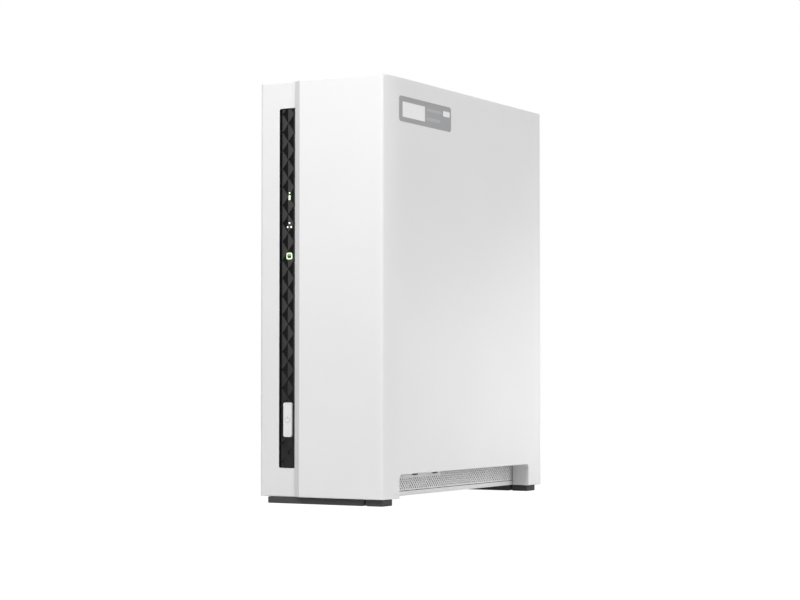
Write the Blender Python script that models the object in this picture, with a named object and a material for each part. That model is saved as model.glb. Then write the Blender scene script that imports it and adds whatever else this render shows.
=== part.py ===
"""A one-bay network storage tower, each separate piece as one closed solid.

Lengths below are millimetres and are turned into metres as vertices are made.
The origin is on the ground under the middle of the case. The front faces -Y,
the right side faces +X and +Z is up.
"""

import math

import bmesh
import bpy

MM = 0.001

# Case
WIDTH, DEPTH, HEIGHT = 66.21, 156.25, 188.64
RIGHT, LEFT = WIDTH / 2, -WIDTH / 2
FRONT, REAR = -DEPTH / 2, DEPTH / 2
WALL = 2.2
GAP = 0.3
CASE_BOTTOM = 3.0
CASE_ROUNDS = {"front_left": 2.0, "front_right": 1.6, "rear": 1.5, "top": 0.8}
FRONT_STEP = 1.5
SEAM_X, BAND_X = -13.95, -10.8
INNER_X = RIGHT - WALL
INNER_TOP = HEIGHT - WALL
LEFT_INNER_FRONT = FRONT + FRONT_STEP + WALL
RIGHT_INNER_FRONT = FRONT + WALL

# Cut-away under each side wall, with a perforated strip behind it
NOTCH_FRONT, NOTCH_REAR = FRONT + 13.0, FRONT + 141.5
NOTCH_DRAFT = 1.9
NOTCH_TOP, NOTCH_ROUND = 13.8, 1.2
ROOF_TOP = NOTCH_TOP + WALL
GRILLE_X, GRILLE_THICK = 23.1, 1.2
GRILLE_ENDS = (-71.0, 71.0)
HOOK_FRONTS, HOOK_LENGTH, HOOK_Z = (FRONT + 42.0, FRONT + 60.7), 5.2, (11.1, 12.4)
LEG_INNER_X = GRILLE_X + GAP
FLOOR_TOP = 5.0

# Feet
FOOT_TOP = 2.85
FOOT_LEFT, FOOT_SEAM_LEFT, FOOT_SEAM_RIGHT, FOOT_RIGHT = -28.3, 21.8, 22.5, 31.0
FOOT_CUT_BACK = 1.2
FRONT_FOOT = (FRONT + 1.5, FRONT + 10.2)
REAR_FOOT = (FRONT + 143.8, FRONT + 152.8)

# Indicator strip and what shows in it
SLOT_LEFT, SLOT_BOTTOM, SLOT_TOP = -22.15, 15.7, 176.8
STRIP_FACE_Y = FRONT + FRONT_STEP + 0.5
STRIP_FLANGE = (LEFT_INNER_FRONT + GAP, LEFT_INNER_FRONT + 1.5)
RIM = 0.5
MARK_X = -17.5
BUTTON_X, BUTTON_Z, BUTTON_SIZE = -17.95, 37.2, (4.2, 15.3)
BUTTON_FACE_Y = FRONT + 1.3
BUTTON_FLANGE = (STRIP_FLANGE[1] + GAP, STRIP_FLANGE[1] + GAP + 1.2)
FRONT_BOARD = (-67.0, -65.4)
FRONT_BOARD_SCREWS = ((-27.0, 60.0), (-27.0, 150.0))

# Rear panel
PANEL = (REAR - 3.0, REAR - 0.8)
PORT_FACE_Y = PANEL[1] - 0.4
COVER_SCREW_X, COVER_SCREW_HEIGHTS = 27.4, (24.0, 176.0)
HEAD_SINK = 1.2

# Fan
FAN_X, FAN_Z, FAN_SIZE, FAN_DEPTH = 2.0, 150.0, 40.0, 20.0
FAN = (PANEL[0] - GAP - FAN_DEPTH, PANEL[0] - GAP)
FAN_HOLE_STEP = 16.0

# Mainboard, upright beside the left wall
BOARD = (-24.9, -23.3)
CHIP_X = BOARD[1] + GAP
BOARD_SCREWS = ((-52.0, 30.0), (-52.0, 146.0), (48.0, 108.0))
RISER = (20.4, 22.0)
PORTS = {
    "network_jack": {"x": (CHIP_X, -9.9), "z": (86.0, 102.2), "depth": 21.0},
    "usb_port_upper": {"x": (CHIP_X, -16.2), "z": (64.0, 77.6), "depth": 15.0},
    "usb_port_lower": {"x": (CHIP_X, -16.2), "z": (44.0, 57.6), "depth": 15.0},
    "power_inlet": {"x": (CHIP_X, -12.5), "z": (24.0, 34.0), "depth": 14.0},
}
RESET = (-19.5, 39.0)
# Chips: their span along Y and Z, and their height off the board
CHIPS = {
    "processor": ((2, 16), (92, 106), 1.5),
    "memory_chip_lower": ((30, 39), (84, 95), 1.1),
    "memory_chip_upper": ((30, 39), (98, 109), 1.1),
    "flash_chip": ((-24, -12), (92, 106), 1.1),
}
BATTERY, BUZZER = (-36, 52), (-36, 126)

# Hard drive, standing on its connector end
DRIVE_X, DRIVE_Y, DRIVE_Z = (-5.0, 21.1), (-66.0, 35.6), (30.0, 177.0)
SPINDLE = (-15.2, 126.0)
PIVOT = (9.0, 74.0)
PLATTER_RADIUS, DISC_THICK, DISCS = 47.3, 1.2, (6.6, 10.6, 14.6)
SIDE_HOLE_X = DRIVE_X[0] + 6.35
SIDE_HOLE_HEIGHTS = (DRIVE_Z[0] + 28.5, DRIVE_Z[0] + 130.1)
BRACKET_X = (-8.2, -7.0)
BRACKET_FLANGE = 1.2

# Colour, roughness and metallic value of each finish
FINISHES = {
    "case": ((0.84, 0.84, 0.84), 0.42, 0.0),
    "foot": ((0.045, 0.045, 0.047), 0.75, 0.0),
    "black": ((0.012, 0.012, 0.013), 0.25, 0.0),
    "lamp": ((0.70, 0.90, 0.62), 0.30, 0.0),
    "board": ((0.02, 0.10, 0.05), 0.45, 0.0),
    "chip": ((0.03, 0.03, 0.032), 0.50, 0.0),
    "aluminium": ((0.62, 0.63, 0.64), 0.35, 1.0),
    "steel": ((0.55, 0.56, 0.57), 0.32, 1.0),
    "cable": ((0.05, 0.05, 0.055), 0.55, 0.0),
}


# --- Making solids -----------------------------------------------------------


def loft(name, rings):
    """A closed solid through rings of equally many points, capped at both ends."""
    mesh = bmesh.new()
    rows = [[mesh.verts.new([c * MM for c in point]) for point in ring] for ring in rings]
    count = len(rows[0])
    for low, high in zip(rows, rows[1:]):
        for i in range(count):
            j = (i + 1) % count
            mesh.faces.new((low[i], low[j], high[j], high[i]))
    mesh.faces.new(rows[0][::-1])
    mesh.faces.new(rows[-1])
    bmesh.ops.recalc_face_normals(mesh, faces=mesh.faces)
    data = bpy.data.meshes.new(name)
    mesh.to_mesh(data)
    mesh.free()
    solid = bpy.data.objects.new(name, data)
    bpy.context.scene.collection.objects.link(solid)
    return solid


def placed(axis, first, second, along):
    """A point from two in-plane coordinates and the one along the axis."""
    if axis == "X":
        return (along, first, second)
    if axis == "Y":
        return (first, along, second)
    return (first, second, along)


def prism(name, outline, span, axis="Z"):
    """An outline of (X, Y), (X, Z) or (Y, Z) points, extruded along the other axis."""
    return loft(name, [[placed(axis, a, b, at) for a, b in outline] for at in span])


def block(name, x, y, z):
    """A box from its low and high value on each axis."""
    return prism(name, [(x[0], y[0]), (x[1], y[0]), (x[1], y[1]), (x[0], y[1])], z)


def arc(centre, radius, start, end, steps):
    """Points on a circular arc, in degrees, both ends included."""
    angles = (math.radians(start + (end - start) * i / steps) for i in range(steps + 1))
    return [(centre[0] + radius * math.cos(a), centre[1] + radius * math.sin(a)) for a in angles]


def circle(centre, radius, sides):
    """A regular outline of a round shape."""
    return arc(centre, radius, 0, 360 - 360 / sides, sides - 1)


def rounded(first, second, radius, steps=3):
    """A rectangle outline with round corners, from its two spans."""
    corners = ((first[1], second[0], 270), (first[1], second[1], 0),
               (first[0], second[1], 90), (first[0], second[0], 180))
    outline = []
    for a, b, start in corners:
        centre = (a - math.copysign(radius, a - sum(first) / 2),
                  b - math.copysign(radius, b - sum(second) / 2))
        outline += arc(centre, radius, start, start + 90, steps)
    return outline


def rod(name, axis, centre, radius, span, sides=16):
    """A round bar along an axis."""
    return prism(name, circle(centre, radius, sides), span, axis)


def shrunk(outline, inset):
    """A counter-clockwise outline moved in by the inset, with mitred corners."""
    result = []
    for i, (x, y) in enumerate(outline):
        before, after = outline[i - 1], outline[(i + 1) % len(outline)]
        sides = []
        for (ax, ay), (bx, by) in ((before, (x, y)), ((x, y), after)):
            length = math.hypot(bx - ax, by - ay)
            sides.append((-(by - ay) / length, (bx - ax) / length))
        (nx, ny), (mx, my) = sides
        reach = inset / (1 + nx * mx + ny * my)
        result.append((x + (nx + mx) * reach, y + (ny + my) * reach))
    return result


def combine(solid, operation, others):
    """The solid after an exact Boolean with each of the others, which are used up."""
    for other in others:
        step = solid.modifiers.new(operation, "BOOLEAN")
        step.operation = operation
        step.solver = "EXACT"
        step.object = other
    graph = bpy.context.evaluated_depsgraph_get()
    result = bpy.data.meshes.new_from_object(solid.evaluated_get(graph))
    solid.modifiers.clear()
    solid.data = result
    for other in others:
        bpy.data.objects.remove(other)
    return solid


def cut(solid, *others):
    return combine(solid, "DIFFERENCE", others)


def join(solid, *others):
    return combine(solid, "UNION", others)


def keep(solid, other):
    return combine(solid, "INTERSECT", [other])


def dress(solid, finish, smooth=False):
    """Gives a finished piece its own material, and smooth shading if it is round."""
    colour, roughness, metallic = FINISHES[finish]
    material = bpy.data.materials.new(solid.name)
    material.use_nodes = True
    shader = material.node_tree.nodes["Principled BSDF"]
    shader.inputs["Base Color"].default_value = (*colour, 1.0)
    shader.inputs["Roughness"].default_value = roughness
    shader.inputs["Metallic"].default_value = metallic
    solid.data.materials.clear()
    solid.data.materials.append(material)
    if smooth:
        solid.data.shade_smooth()
        solid.data.set_sharp_from_angle(angle=math.radians(40))
    return solid


def pivot_at(solid, point):
    """Moves a piece's origin onto its joint without moving the piece."""
    place = [c * MM for c in point]
    for vertex in solid.data.vertices:
        vertex.co = [c - p for c, p in zip(vertex.co, place)]
    solid.location = place
    return solid


# --- Case --------------------------------------------------------------------


def case_outline():
    """The case seen from above, counter-clockwise from its front left corner."""
    left, right, rear = (CASE_ROUNDS[key] for key in ("front_left", "front_right", "rear"))
    outline = arc((LEFT + left, FRONT + FRONT_STEP + left), left, 180, 270, 5)
    outline += [(SEAM_X, FRONT + FRONT_STEP), (BAND_X, FRONT)]
    outline += arc((RIGHT - right, FRONT + right), right, 270, 360, 6)
    outline += arc((RIGHT - rear, REAR - rear), rear, 0, 90, 4)
    outline += arc((LEFT + rear, REAR - rear), rear, 90, 180, 4)
    return outline


def case_block(name):
    """The outside of the whole case as one block with rounded top edges."""
    outline, top = case_outline(), CASE_ROUNDS["top"]
    rings = [(0, CASE_BOTTOM)]
    for angle in (0, 30, 60, 90):
        turn = math.radians(angle)
        rings.append((top * (1 - math.cos(turn)), HEIGHT - top + top * math.sin(turn)))
    return loft(name, [[(x, y, z) for x, y in shrunk(outline, inset)] for inset, z in rings])


def notch(side):
    """Cutter for the cut-away under a side wall, whose ends splay inwards."""
    rings = []
    for x, splay in ((RIGHT + 1, -0.1 * NOTCH_DRAFT), (GRILLE_X, NOTCH_DRAFT)):
        profile = rounded((NOTCH_FRONT - splay, NOTCH_REAR + splay), (-NOTCH_TOP, NOTCH_TOP), NOTCH_ROUND)
        rings.append([(side * x, y, z) for y, z in profile])
    return loft("notch", rings)


def hollow(side, front):
    """Cutters that empty one half of the case and leave its walls, legs and notch roof."""
    wall = sorted((side * INNER_X, -side * WIDTH))
    centre = sorted((side * LEG_INNER_X, -side * WIDTH))
    open_rear = REAR + 5
    leg_floor = CASE_BOTTOM + WALL
    overlap = ROOF_TOP + 0.5
    return (
        block("room", wall, (front, open_rear), (ROOF_TOP, INNER_TOP)),
        block("front_leg", wall, (front, NOTCH_FRONT - NOTCH_DRAFT - WALL), (leg_floor, overlap)),
        block("rear_leg", wall, (NOTCH_REAR + NOTCH_DRAFT + WALL, open_rear), (leg_floor, overlap)),
        block("under", centre, (front, open_rear), (-1, overlap)),
    )


def left_shell():
    shell = case_block("left_shell")
    seam = SEAM_X - GAP / 2
    keep(shell, block("half", (LEFT - 5, seam), (FRONT - 5, REAR + 5), (-5, HEIGHT + 5)))
    slot_top = rounded((SLOT_LEFT, SEAM_X + 20), (SLOT_BOTTOM, SLOT_TOP), 0.8)
    slot = prism("slot", slot_top, (FRONT - 5, LEFT_INNER_FRONT + 5), "Y")
    cut(shell, *hollow(-1, LEFT_INNER_FRONT))
    cut(shell, notch(-1), slot)
    # A tongue closes the seam from inside, above and below the strip and along the top.
    root, tip, lap = seam - 2.5, SEAM_X + 2.9, 0.6
    face, back = LEFT_INNER_FRONT + GAP, LEFT_INNER_FRONT + 1.5
    step = [(root, face - GAP - lap), (seam - 0.2, face - GAP - lap), (seam - 0.2, face),
            (tip, face), (tip, back), (root, back)]
    upper, lower = INNER_TOP - GAP, INNER_TOP - 1.5
    below = prism("tongue", step, (6.0, SLOT_BOTTOM - 2.0))
    above = prism("tongue", step, (SLOT_TOP + 2.0, upper))
    roof = [(root, lower), (tip, lower), (tip, upper), (seam - 0.2, upper),
            (seam - 0.2, INNER_TOP + lap), (root, INNER_TOP + lap)]
    along = prism("tongue", roof, (back - lap, PANEL[0] - GAP), "Y")
    join(shell, below, above)
    join(shell, along)
    bosses, pilots = [], []
    for y, z in BOARD_SCREWS:
        bosses.append(rod("boss", "X", (y, z), 3.2, (-INNER_X - 0.5, BOARD[0] - GAP), 14))
        pilots.append(rod("pilot", "X", (y, z), 1.6, (-INNER_X + 0.6, BOARD[0] + 1), 10))
    for x, z in FRONT_BOARD_SCREWS:
        bosses.append(rod("boss", "Y", (x, z), 2.2, (LEFT_INNER_FRONT - 0.5, FRONT_BOARD[0] - GAP), 12))
        pilots.append(rod("pilot", "Y", (x, z), 1.2, (LEFT_INNER_FRONT + 0.8, FRONT_BOARD[0] + 1), 10))
    join(shell, *bosses)
    cut(shell, *pilots)
    return dress(shell, "case")


def right_cover():
    cover = case_block("right_cover")
    seam = SEAM_X + GAP / 2
    keep(cover, block("half", (seam, RIGHT + 5), (FRONT - 5, REAR + 5), (-5, HEIGHT + 5)))
    cut(cover, *hollow(1, RIGHT_INNER_FRONT))
    cut(cover, notch(1))
    edge = [(seam, FRONT + FRONT_STEP + 0.3), (seam + 4, FRONT + 0.6), (seam + 4, LEFT_INNER_FRONT),
            (seam, LEFT_INNER_FRONT)]
    join(cover, prism("seam_rib", edge, (CASE_BOTTOM, INNER_TOP + 0.5)))
    bosses, pilots = [], []
    front, back = PANEL[0] - 9, PANEL[0] - GAP
    for z in COVER_SCREW_HEIGHTS:
        boss = rod("boss", "Y", (COVER_SCREW_X, z), 3.2, (front, back), 14)
        web = block("web", (COVER_SCREW_X, INNER_X + 0.5), (front, back), (z - 1.5, z + 1.5))
        bosses.append(join(boss, web))
        pilots.append(rod("pilot", "Y", (COVER_SCREW_X, z), 1.6, (front + 2, back + 1), 10))
    join(cover, *bosses)
    cut(cover, *pilots)
    return dress(cover, "case")


def base_frame():
    front = LEFT_INNER_FRONT + GAP
    frame = block("base_frame", (-GRILLE_X, GRILLE_X), (front, PANEL[1]), (CASE_BOTTOM, FLOOR_TOP))
    sunk = FLOOR_TOP - 0.5
    partition = block("partition", (-10.0, -8.5), (-64.0, 50.0), (sunk, 172.0))
    cut(
        partition,
        block("window", (-12, -6), (-48, 28), (64, 108)),
        block("window", (-12, -6), (-48, 28), (116, 160)),
        block("window", (-12, -6), (-47, 5), (16.5, 30)),
    )
    parts = [partition]
    for side in (-1, 1):
        spans = sorted((side * 20.1, side * (GRILLE_X - GRILLE_THICK - GAP)))
        for y in (-69.5, 0.0, 69.5):
            parts.append(block("grille_post", spans, (y - 1.5, y + 1.5), (sunk, ROOF_TOP - 0.5)))
    for y in (-59.0, 29.0):
        parts.append(block("drive_rest", (2, 10), (y - 3, y + 3), (sunk, DRIVE_Z[0] - 0.4)))
    for y in (-41.0, -1.0):
        parts.append(rod("riser_post", "Z", (3.5, y), 2.5, (sunk, RISER[0] - GAP), 12))
    join(frame, *parts)
    return dress(frame, "case")


def vent_grilles():
    for side, name in ((-1, "vent_grille_left"), (1, "vent_grille_right")):
        x = sorted((side * (GRILLE_X - GRILLE_THICK), side * GRILLE_X))
        plate = block(name, x, GRILLE_ENDS, (FLOOR_TOP + GAP, ROOF_TOP - 0.5))
        across = (side * GRILLE_X - 3, side * GRILLE_X + 3)
        hooks = [block("hook_slot", across, (start, start + HOOK_LENGTH), HOOK_Z) for start in HOOK_FRONTS]
        dress(cut(plate, *hooks), "case")


def feet():
    for end, y in (("front", FRONT_FOOT), ("rear", REAR_FOOT)):
        long_side = [(FOOT_LEFT, 0), (FOOT_SEAM_LEFT - FOOT_CUT_BACK, 0),
                     (FOOT_SEAM_LEFT, FOOT_CUT_BACK), (FOOT_SEAM_LEFT, FOOT_TOP), (FOOT_LEFT, FOOT_TOP)]
        short_side = [(FOOT_SEAM_RIGHT + 0.4, 0), (FOOT_RIGHT, 0), (FOOT_RIGHT, FOOT_TOP),
                      (FOOT_SEAM_RIGHT, FOOT_TOP), (FOOT_SEAM_RIGHT, 0.4)]
        dress(prism(f"foot_{end}_left", long_side, y, "Y"), "foot")
        dress(prism(f"foot_{end}_right", short_side, y, "Y"), "foot")


# --- Front strip -------------------------------------------------------------


def mark_outlines(clearance):
    """The outlines of the lit marks, by name, each grown by a clearance."""

    def patch(x, z, width, height, radius):
        half, tall = width / 2 + clearance, height / 2 + clearance
        return rounded((x - half, x + half), (z - tall, z + tall), radius + clearance, 2)

    return {
        "status_light": [patch(MARK_X, 136.8, 1.1, 2.3, 0.2), patch(MARK_X, 138.9, 1.1, 1.1, 0.4)],
        "network_light": [patch(MARK_X + dx, z, 1.05, 1.05, 0.4)
                          for dx, z in ((0, 125.2), (-0.9, 123.4), (0.9, 123.4))],
        "disk_light": [patch(MARK_X, 110.4, 3.3, 3.3, 0.9)],
    }


def indicator_strip():
    right = SEAM_X - 0.1
    inset = 0.1
    span = (SLOT_LEFT + inset, right), (SLOT_BOTTOM + inset, SLOT_TOP - inset)
    strip = prism("indicator_strip", rounded(*span, 0.7), (STRIP_FACE_Y, STRIP_FLANGE[1]), "Y")
    flange = prism("flange", rounded((SLOT_LEFT - 2, SEAM_X + 2), (SLOT_BOTTOM - 1.6, SLOT_TOP + 1.6), 1),
                   STRIP_FLANGE, "Y")
    rim = prism("rim", rounded(*span, 0.7), (FRONT + FRONT_STEP + 0.1, STRIP_FACE_Y + 0.3), "Y")
    bowl = prism("bowl", rounded((span[0][0] + RIM, right + 5), (span[1][0] + RIM, span[1][1] - RIM), 0.3),
                 (FRONT, STRIP_FACE_Y + 5), "Y")
    join(strip, flange, cut(rim, bowl))
    through = (FRONT, STRIP_FLANGE[1] + 5)
    half_wide, half_tall = (size / 2 + GAP for size in BUTTON_SIZE)
    window = rounded((BUTTON_X - half_wide, BUTTON_X + half_wide),
                     (BUTTON_Z - half_tall, BUTTON_Z + half_tall), 1.2)
    cutters = [prism("button_window", window, through, "Y")]
    for outlines in mark_outlines(0.08).values():
        cutters += [prism("mark", outline, through, "Y") for outline in outlines]
    cut(strip, *cutters)
    return dress(strip, "black")


def lights():
    """A light guide behind each mark: posts in the strip, a plate and a rod to its lamp."""
    plate_y = (STRIP_FLANGE[1] + GAP, STRIP_FLANGE[1] + GAP + 1)
    for name, outlines in mark_outlines(0).items():
        heights = [z for outline in outlines for _, z in outline]
        low, high = min(heights), max(heights)
        guide = block(name, (MARK_X - 3, MARK_X + 3), plate_y, (low - 1.5, high + 1.5))
        parts = [prism("post", outline, (STRIP_FACE_Y - 0.02, plate_y[0] + 0.5), "Y") for outline in outlines]
        lamp_end = FRONT_BOARD[0] - 0.6 - GAP
        parts.append(rod("rod", "Y", (MARK_X, (low + high) / 2), 1.2, (plate_y[1] - 0.5, lamp_end), 10))
        dress(join(guide, *parts), "lamp")


def power_button():
    half_wide, half_tall = (size / 2 for size in BUTTON_SIZE)
    cap = rounded((BUTTON_X - half_wide, BUTTON_X + half_wide),
                  (BUTTON_Z - half_tall, BUTTON_Z + half_tall), 1.0, 4)
    rings = [(0.35, BUTTON_FACE_Y), (0.1, BUTTON_FACE_Y + 0.1), (0, BUTTON_FACE_Y + 0.35),
             (0, BUTTON_FLANGE[0] + 0.5)]
    button = loft("power_button", [[(x, y, z) for x, z in shrunk(cap, inset)] for inset, y in rings])
    flange = block("flange", (BUTTON_X - 3.4, BUTTON_X + 3.4), BUTTON_FLANGE,
                   (BUTTON_Z - 9.5, BUTTON_Z + 9.5))
    join(button, flange)
    dress(button, "case", smooth=True)
    return pivot_at(button, (BUTTON_X, BUTTON_FACE_Y, BUTTON_Z))


def front_board():
    board = block("front_board", (-29.6, -12.2), FRONT_BOARD, (28, 158))
    lamps = []
    for outlines in mark_outlines(0).values():
        heights = [z for outline in outlines for _, z in outline]
        middle = (min(heights) + max(heights)) / 2
        lamps.append(block("lamp", (MARK_X - 0.8, MARK_X + 0.8),
                           (FRONT_BOARD[0] - 0.6, FRONT_BOARD[0] + 0.3), (middle - 0.8, middle + 0.8)))
    join(board, *lamps)
    holes = [rod("hole", "Y", place, 1.3, (FRONT_BOARD[0] - 1, FRONT_BOARD[1] + 1), 12)
             for place in FRONT_BOARD_SCREWS]
    dress(cut(board, *holes), "board")
    seat = FRONT_BOARD[1] + 0.1
    for place, name in zip(FRONT_BOARD_SCREWS, ("front_board_screw_lower", "front_board_screw_upper")):
        screw(name, "Y", place, seat, 1, (2.2, 1.5), (0.9, 6.0))


def power_switch():
    body_y = (FRONT_BOARD[0] - 2.6, FRONT_BOARD[0] - GAP)
    switch = block("power_switch", (BUTTON_X - 3, BUTTON_X + 3), body_y, (BUTTON_Z - 3, BUTTON_Z + 3))
    plunger = rod("plunger", "Y", (BUTTON_X, BUTTON_Z), 1.7, (body_y[0] - 0.7, body_y[0] + 0.5), 14)
    return dress(join(switch, plunger), "chip")


def front_lead():
    """A flat lead with a plug on each end, from the front board to the mainboard."""
    low, high = 66.0, 74.0
    start, end = (-19.6, FRONT_BOARD[1] + 3.2), (-20.6, -54.0)
    steps = 8
    path = []
    for i in range(steps + 1):
        t = i / steps
        ease = t * t * (3 - 2 * t)
        path.append((start[0] + (end[0] - start[0]) * ease, start[1] + (end[1] - start[1]) * t))
    half = 0.4
    outline = [(x + half, y) for x, y in path] + [(x - half, y) for x, y in reversed(path)]
    lead = prism("front_lead", outline, (low + 1, high - 1))
    first = block("plug", (start[0] - 1.6, start[0] + 1.6),
                  (FRONT_BOARD[1] + GAP, start[1] + 0.6), (low, high))
    last = block("plug", (CHIP_X, end[0] + 1.6), (end[1] - 0.6, end[1] + 5), (low, high))
    return dress(join(lead, first, last), "cable")


def screw(name, axis, centre, seat, facing, head, shank):
    """A pan head resting above the seat, and a shank that runs the other way."""
    head_radius, head_height = head
    shank_radius, length = shank
    top = seat + facing * head_height
    rim = seat + facing * head_height * 0.6
    crown = head_radius * 0.72
    rings = [(crown, top), (head_radius, rim), (head_radius, seat)]
    rings += [(shank_radius, seat), (shank_radius, seat - facing * length)]
    solid = loft(name, [[placed(axis, a, b, at) for a, b in circle(centre, radius, 12)]
                        for radius, at in rings])
    return dress(solid, "steel", smooth=True)


# --- Rear panel and fan ------------------------------------------------------


def fan_grille_holes():
    """Honeycomb holes, three rings around the middle, in one cutter."""
    pitch, radius = 5.7, 2.6
    cutters = []
    for q in range(-3, 4):
        for r in range(-3, 4):
            if abs(q + r) > 3:
                continue
            centre = (FAN_X + pitch * (q + r / 2), FAN_Z + pitch * r * math.sqrt(3) / 2)
            outline = arc(centre, radius, 30, 330, 5)
            cutters.append(prism("hex", outline, (PANEL[0] - 5, PANEL[1] + 5), "Y"))
    return cutters


def rear_panel():
    outline = rounded((-INNER_X + GAP, INNER_X - GAP), (CASE_BOTTOM + WALL + GAP, INNER_TOP - GAP), 1.0)
    panel = prism("rear_panel", outline, PANEL, "Y")
    through = (PANEL[0] - 5, PANEL[1] + 5)
    sink = (PANEL[1] - HEAD_SINK, PANEL[1] + 5)
    holes = fan_grille_holes()
    for x, z in fan_screw_places():
        holes.append(rod("hole", "Y", (x, z), 1.6, through, 12))
        holes.append(rod("sink", "Y", (x, z), 3.2, sink, 16))
    for z in COVER_SCREW_HEIGHTS:
        holes.append(rod("hole", "Y", (COVER_SCREW_X, z), 1.6, through, 12))
        holes.append(rod("sink", "Y", (COVER_SCREW_X, z), 3.4, sink, 16))
    for port in PORTS.values():
        x, z = port["x"], port["z"]
        outline = rounded((x[0] - GAP, x[1] + GAP), (z[0] - GAP, z[1] + GAP), 0.6, 2)
        holes.append(prism("window", outline, through, "Y"))
    holes.append(rod("reset_hole", "Y", RESET, 0.9, through, 12))
    holes.append(prism("lock_slot", rounded((13, 20), (26, 29), 0.8, 2), through, "Y"))
    cut(panel, *holes)
    return dress(panel, "case")


def fan_screw_places():
    return [(FAN_X + dx * FAN_HOLE_STEP, FAN_Z + dz * FAN_HOLE_STEP)
            for dx in (-1, 1) for dz in (-1, 1)]


def fan():
    half = FAN_SIZE / 2
    frame = prism("fan_frame", rounded((FAN_X - half, FAN_X + half), (FAN_Z - half, FAN_Z + half), 3),
                  FAN, "Y")
    holes = [rod("hole", "Y", place, 1.9, (FAN[0] - 5, FAN[1] + 5), 12) for place in fan_screw_places()]
    cut(frame, rod("bore", "Y", (FAN_X, FAN_Z), half - 1, (FAN[0] - 5, FAN[1] + 5), 36), *holes)
    support = (FAN[1] - 2.6, FAN[1] - 0.2)
    hub = rod("hub", "Y", (FAN_X, FAN_Z), 10, support, 24)
    struts = []
    for angle in (20, 110, 200, 290):
        turn = math.radians(angle)
        way, side = (math.cos(turn), math.sin(turn)), (-math.sin(turn), math.cos(turn))
        corners = ((8, -0.9), (half + 0.4, -0.9), (half + 0.4, 0.9), (8, 0.9))
        outline = [(FAN_X + way[0] * a + side[0] * b, FAN_Z + way[1] * a + side[1] * b)
                   for a, b in corners]
        struts.append(prism("strut", outline, (support[0] + 0.2, support[1] - 0.2), "Y"))
    join(hub, *struts)
    dress(join(frame, hub), "black")
    seat = PANEL[1] - HEAD_SINK + 0.1
    names = ("fan_screw_left_low", "fan_screw_left_high", "fan_screw_right_low", "fan_screw_right_high")
    for name, place in zip(names, fan_screw_places()):
        screw(name, "Y", place, seat, 1, (2.8, 1.5), (1.3, 12))
    rotor(support[0] - 0.6)


def rotor(back):
    """A hub cup with seven pitched blades, on the fan's axis."""
    wheel = loft("fan_rotor", [[(FAN_X + a, y, FAN_Z + b) for a, b in circle((0, 0), r, 28)]
                               for r, y in ((8.3, FAN[0] + 1.2), (9.5, FAN[0] + 2.2), (9.5, back))])
    blades = []
    for i in range(7):
        base = 2 * math.pi * i / 7
        rings = []
        for radius, pitch in ((8.8, 48), (12, 42), (15.2, 36), (18.3, 30)):
            chord, thick = 11.5, 0.9
            lean = math.radians(pitch)
            ring = []
            for u, v in ((-0.5, -0.5), (0.5, -0.5), (0.5, 0.5), (-0.5, 0.5)):
                swept = u * chord * math.cos(lean) - v * thick * math.sin(lean)
                along = u * chord * math.sin(lean) + v * thick * math.cos(lean)
                turn = base + swept / radius
                across, up = radius * math.cos(turn), radius * math.sin(turn)
                ring.append((FAN_X + across, (FAN[0] + back) / 2 + along, FAN_Z + up))
            rings.append(ring)
        blades.append(loft("blade", rings))
    join(wheel, *blades)
    dress(wheel, "black", smooth=True)
    return pivot_at(wheel, (FAN_X, FAN[0], FAN_Z))


def fan_lead():
    """The fan's short lead, from the fan's front face down into its header."""
    points = ((-15.0, FAN[0] - GAP, 134.0), (-15.0, 44.0, 134.0), (-20.2, 44.0, 134.0), (-20.2, 44.0, 122.3))
    steps, sides, radius = 14, 8, 1.0

    def on_curve(t):
        weights = ((1 - t) ** 3, 3 * t * (1 - t) ** 2, 3 * t * t * (1 - t), t ** 3)
        return [sum(w * p[i] for w, p in zip(weights, points)) for i in range(3)]

    rings = []
    for step in range(steps + 1):
        t = step / steps
        here = on_curve(t)
        ahead, behind = on_curve(min(1, t + 0.01)), on_curve(max(0, t - 0.01))
        way = [a - b for a, b in zip(ahead, behind)]
        size = math.sqrt(sum(w * w for w in way))
        way = [w / size for w in way]
        # The lead bends towards -X, so this side vector never lines up with it.
        side = (0.0, way[2], -way[1])
        width = math.hypot(side[1], side[2])
        side = [s / width for s in side]
        up = (way[1] * side[2] - way[2] * side[1], way[2] * side[0] - way[0] * side[2],
              way[0] * side[1] - way[1] * side[0])
        ring = []
        for a, b in circle((0, 0), radius, sides):
            ring.append([here[i] + a * side[i] + b * up[i] for i in range(3)])
        rings.append(ring)
    return dress(loft("fan_lead", rings), "cable", smooth=True)


# --- Mainboard ---------------------------------------------------------------

def ports():
    for name, port in PORTS.items():
        x, z = port["x"], port["z"]
        y = (PORT_FACE_Y - port["depth"], PORT_FACE_Y)
        body = block(name, x, y, z)
        if name == "network_jack":
            middle = (z[0] + z[1]) / 2
            socket = block("socket", (x[0] + 2.4, x[1] - 1.6), (y[1] - 14, y[1] + 5),
                           (middle - 5.9, middle + 5.9))
            latch = block("latch", (x[0] + 0.9, x[0] + 3), (y[1] - 12, y[1] + 5), (middle - 3, middle + 3))
            cut(body, join(socket, latch))
            finish = "steel"
        elif name == "power_inlet":
            centre = ((x[0] + x[1]) / 2, (z[0] + z[1]) / 2)
            cut(body, rod("bore", "Y", centre, 3.3, (y[1] - 10, y[1] + 5), 20))
            finish = "chip"
        else:
            socket = block("socket", (x[0] + 0.7, x[1] - 0.7), (y[1] - 13, y[1] + 5),
                           (z[0] + 0.7, z[1] - 0.7))
            cut(body, socket)
            finish = "steel"
        dress(body, finish)


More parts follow.
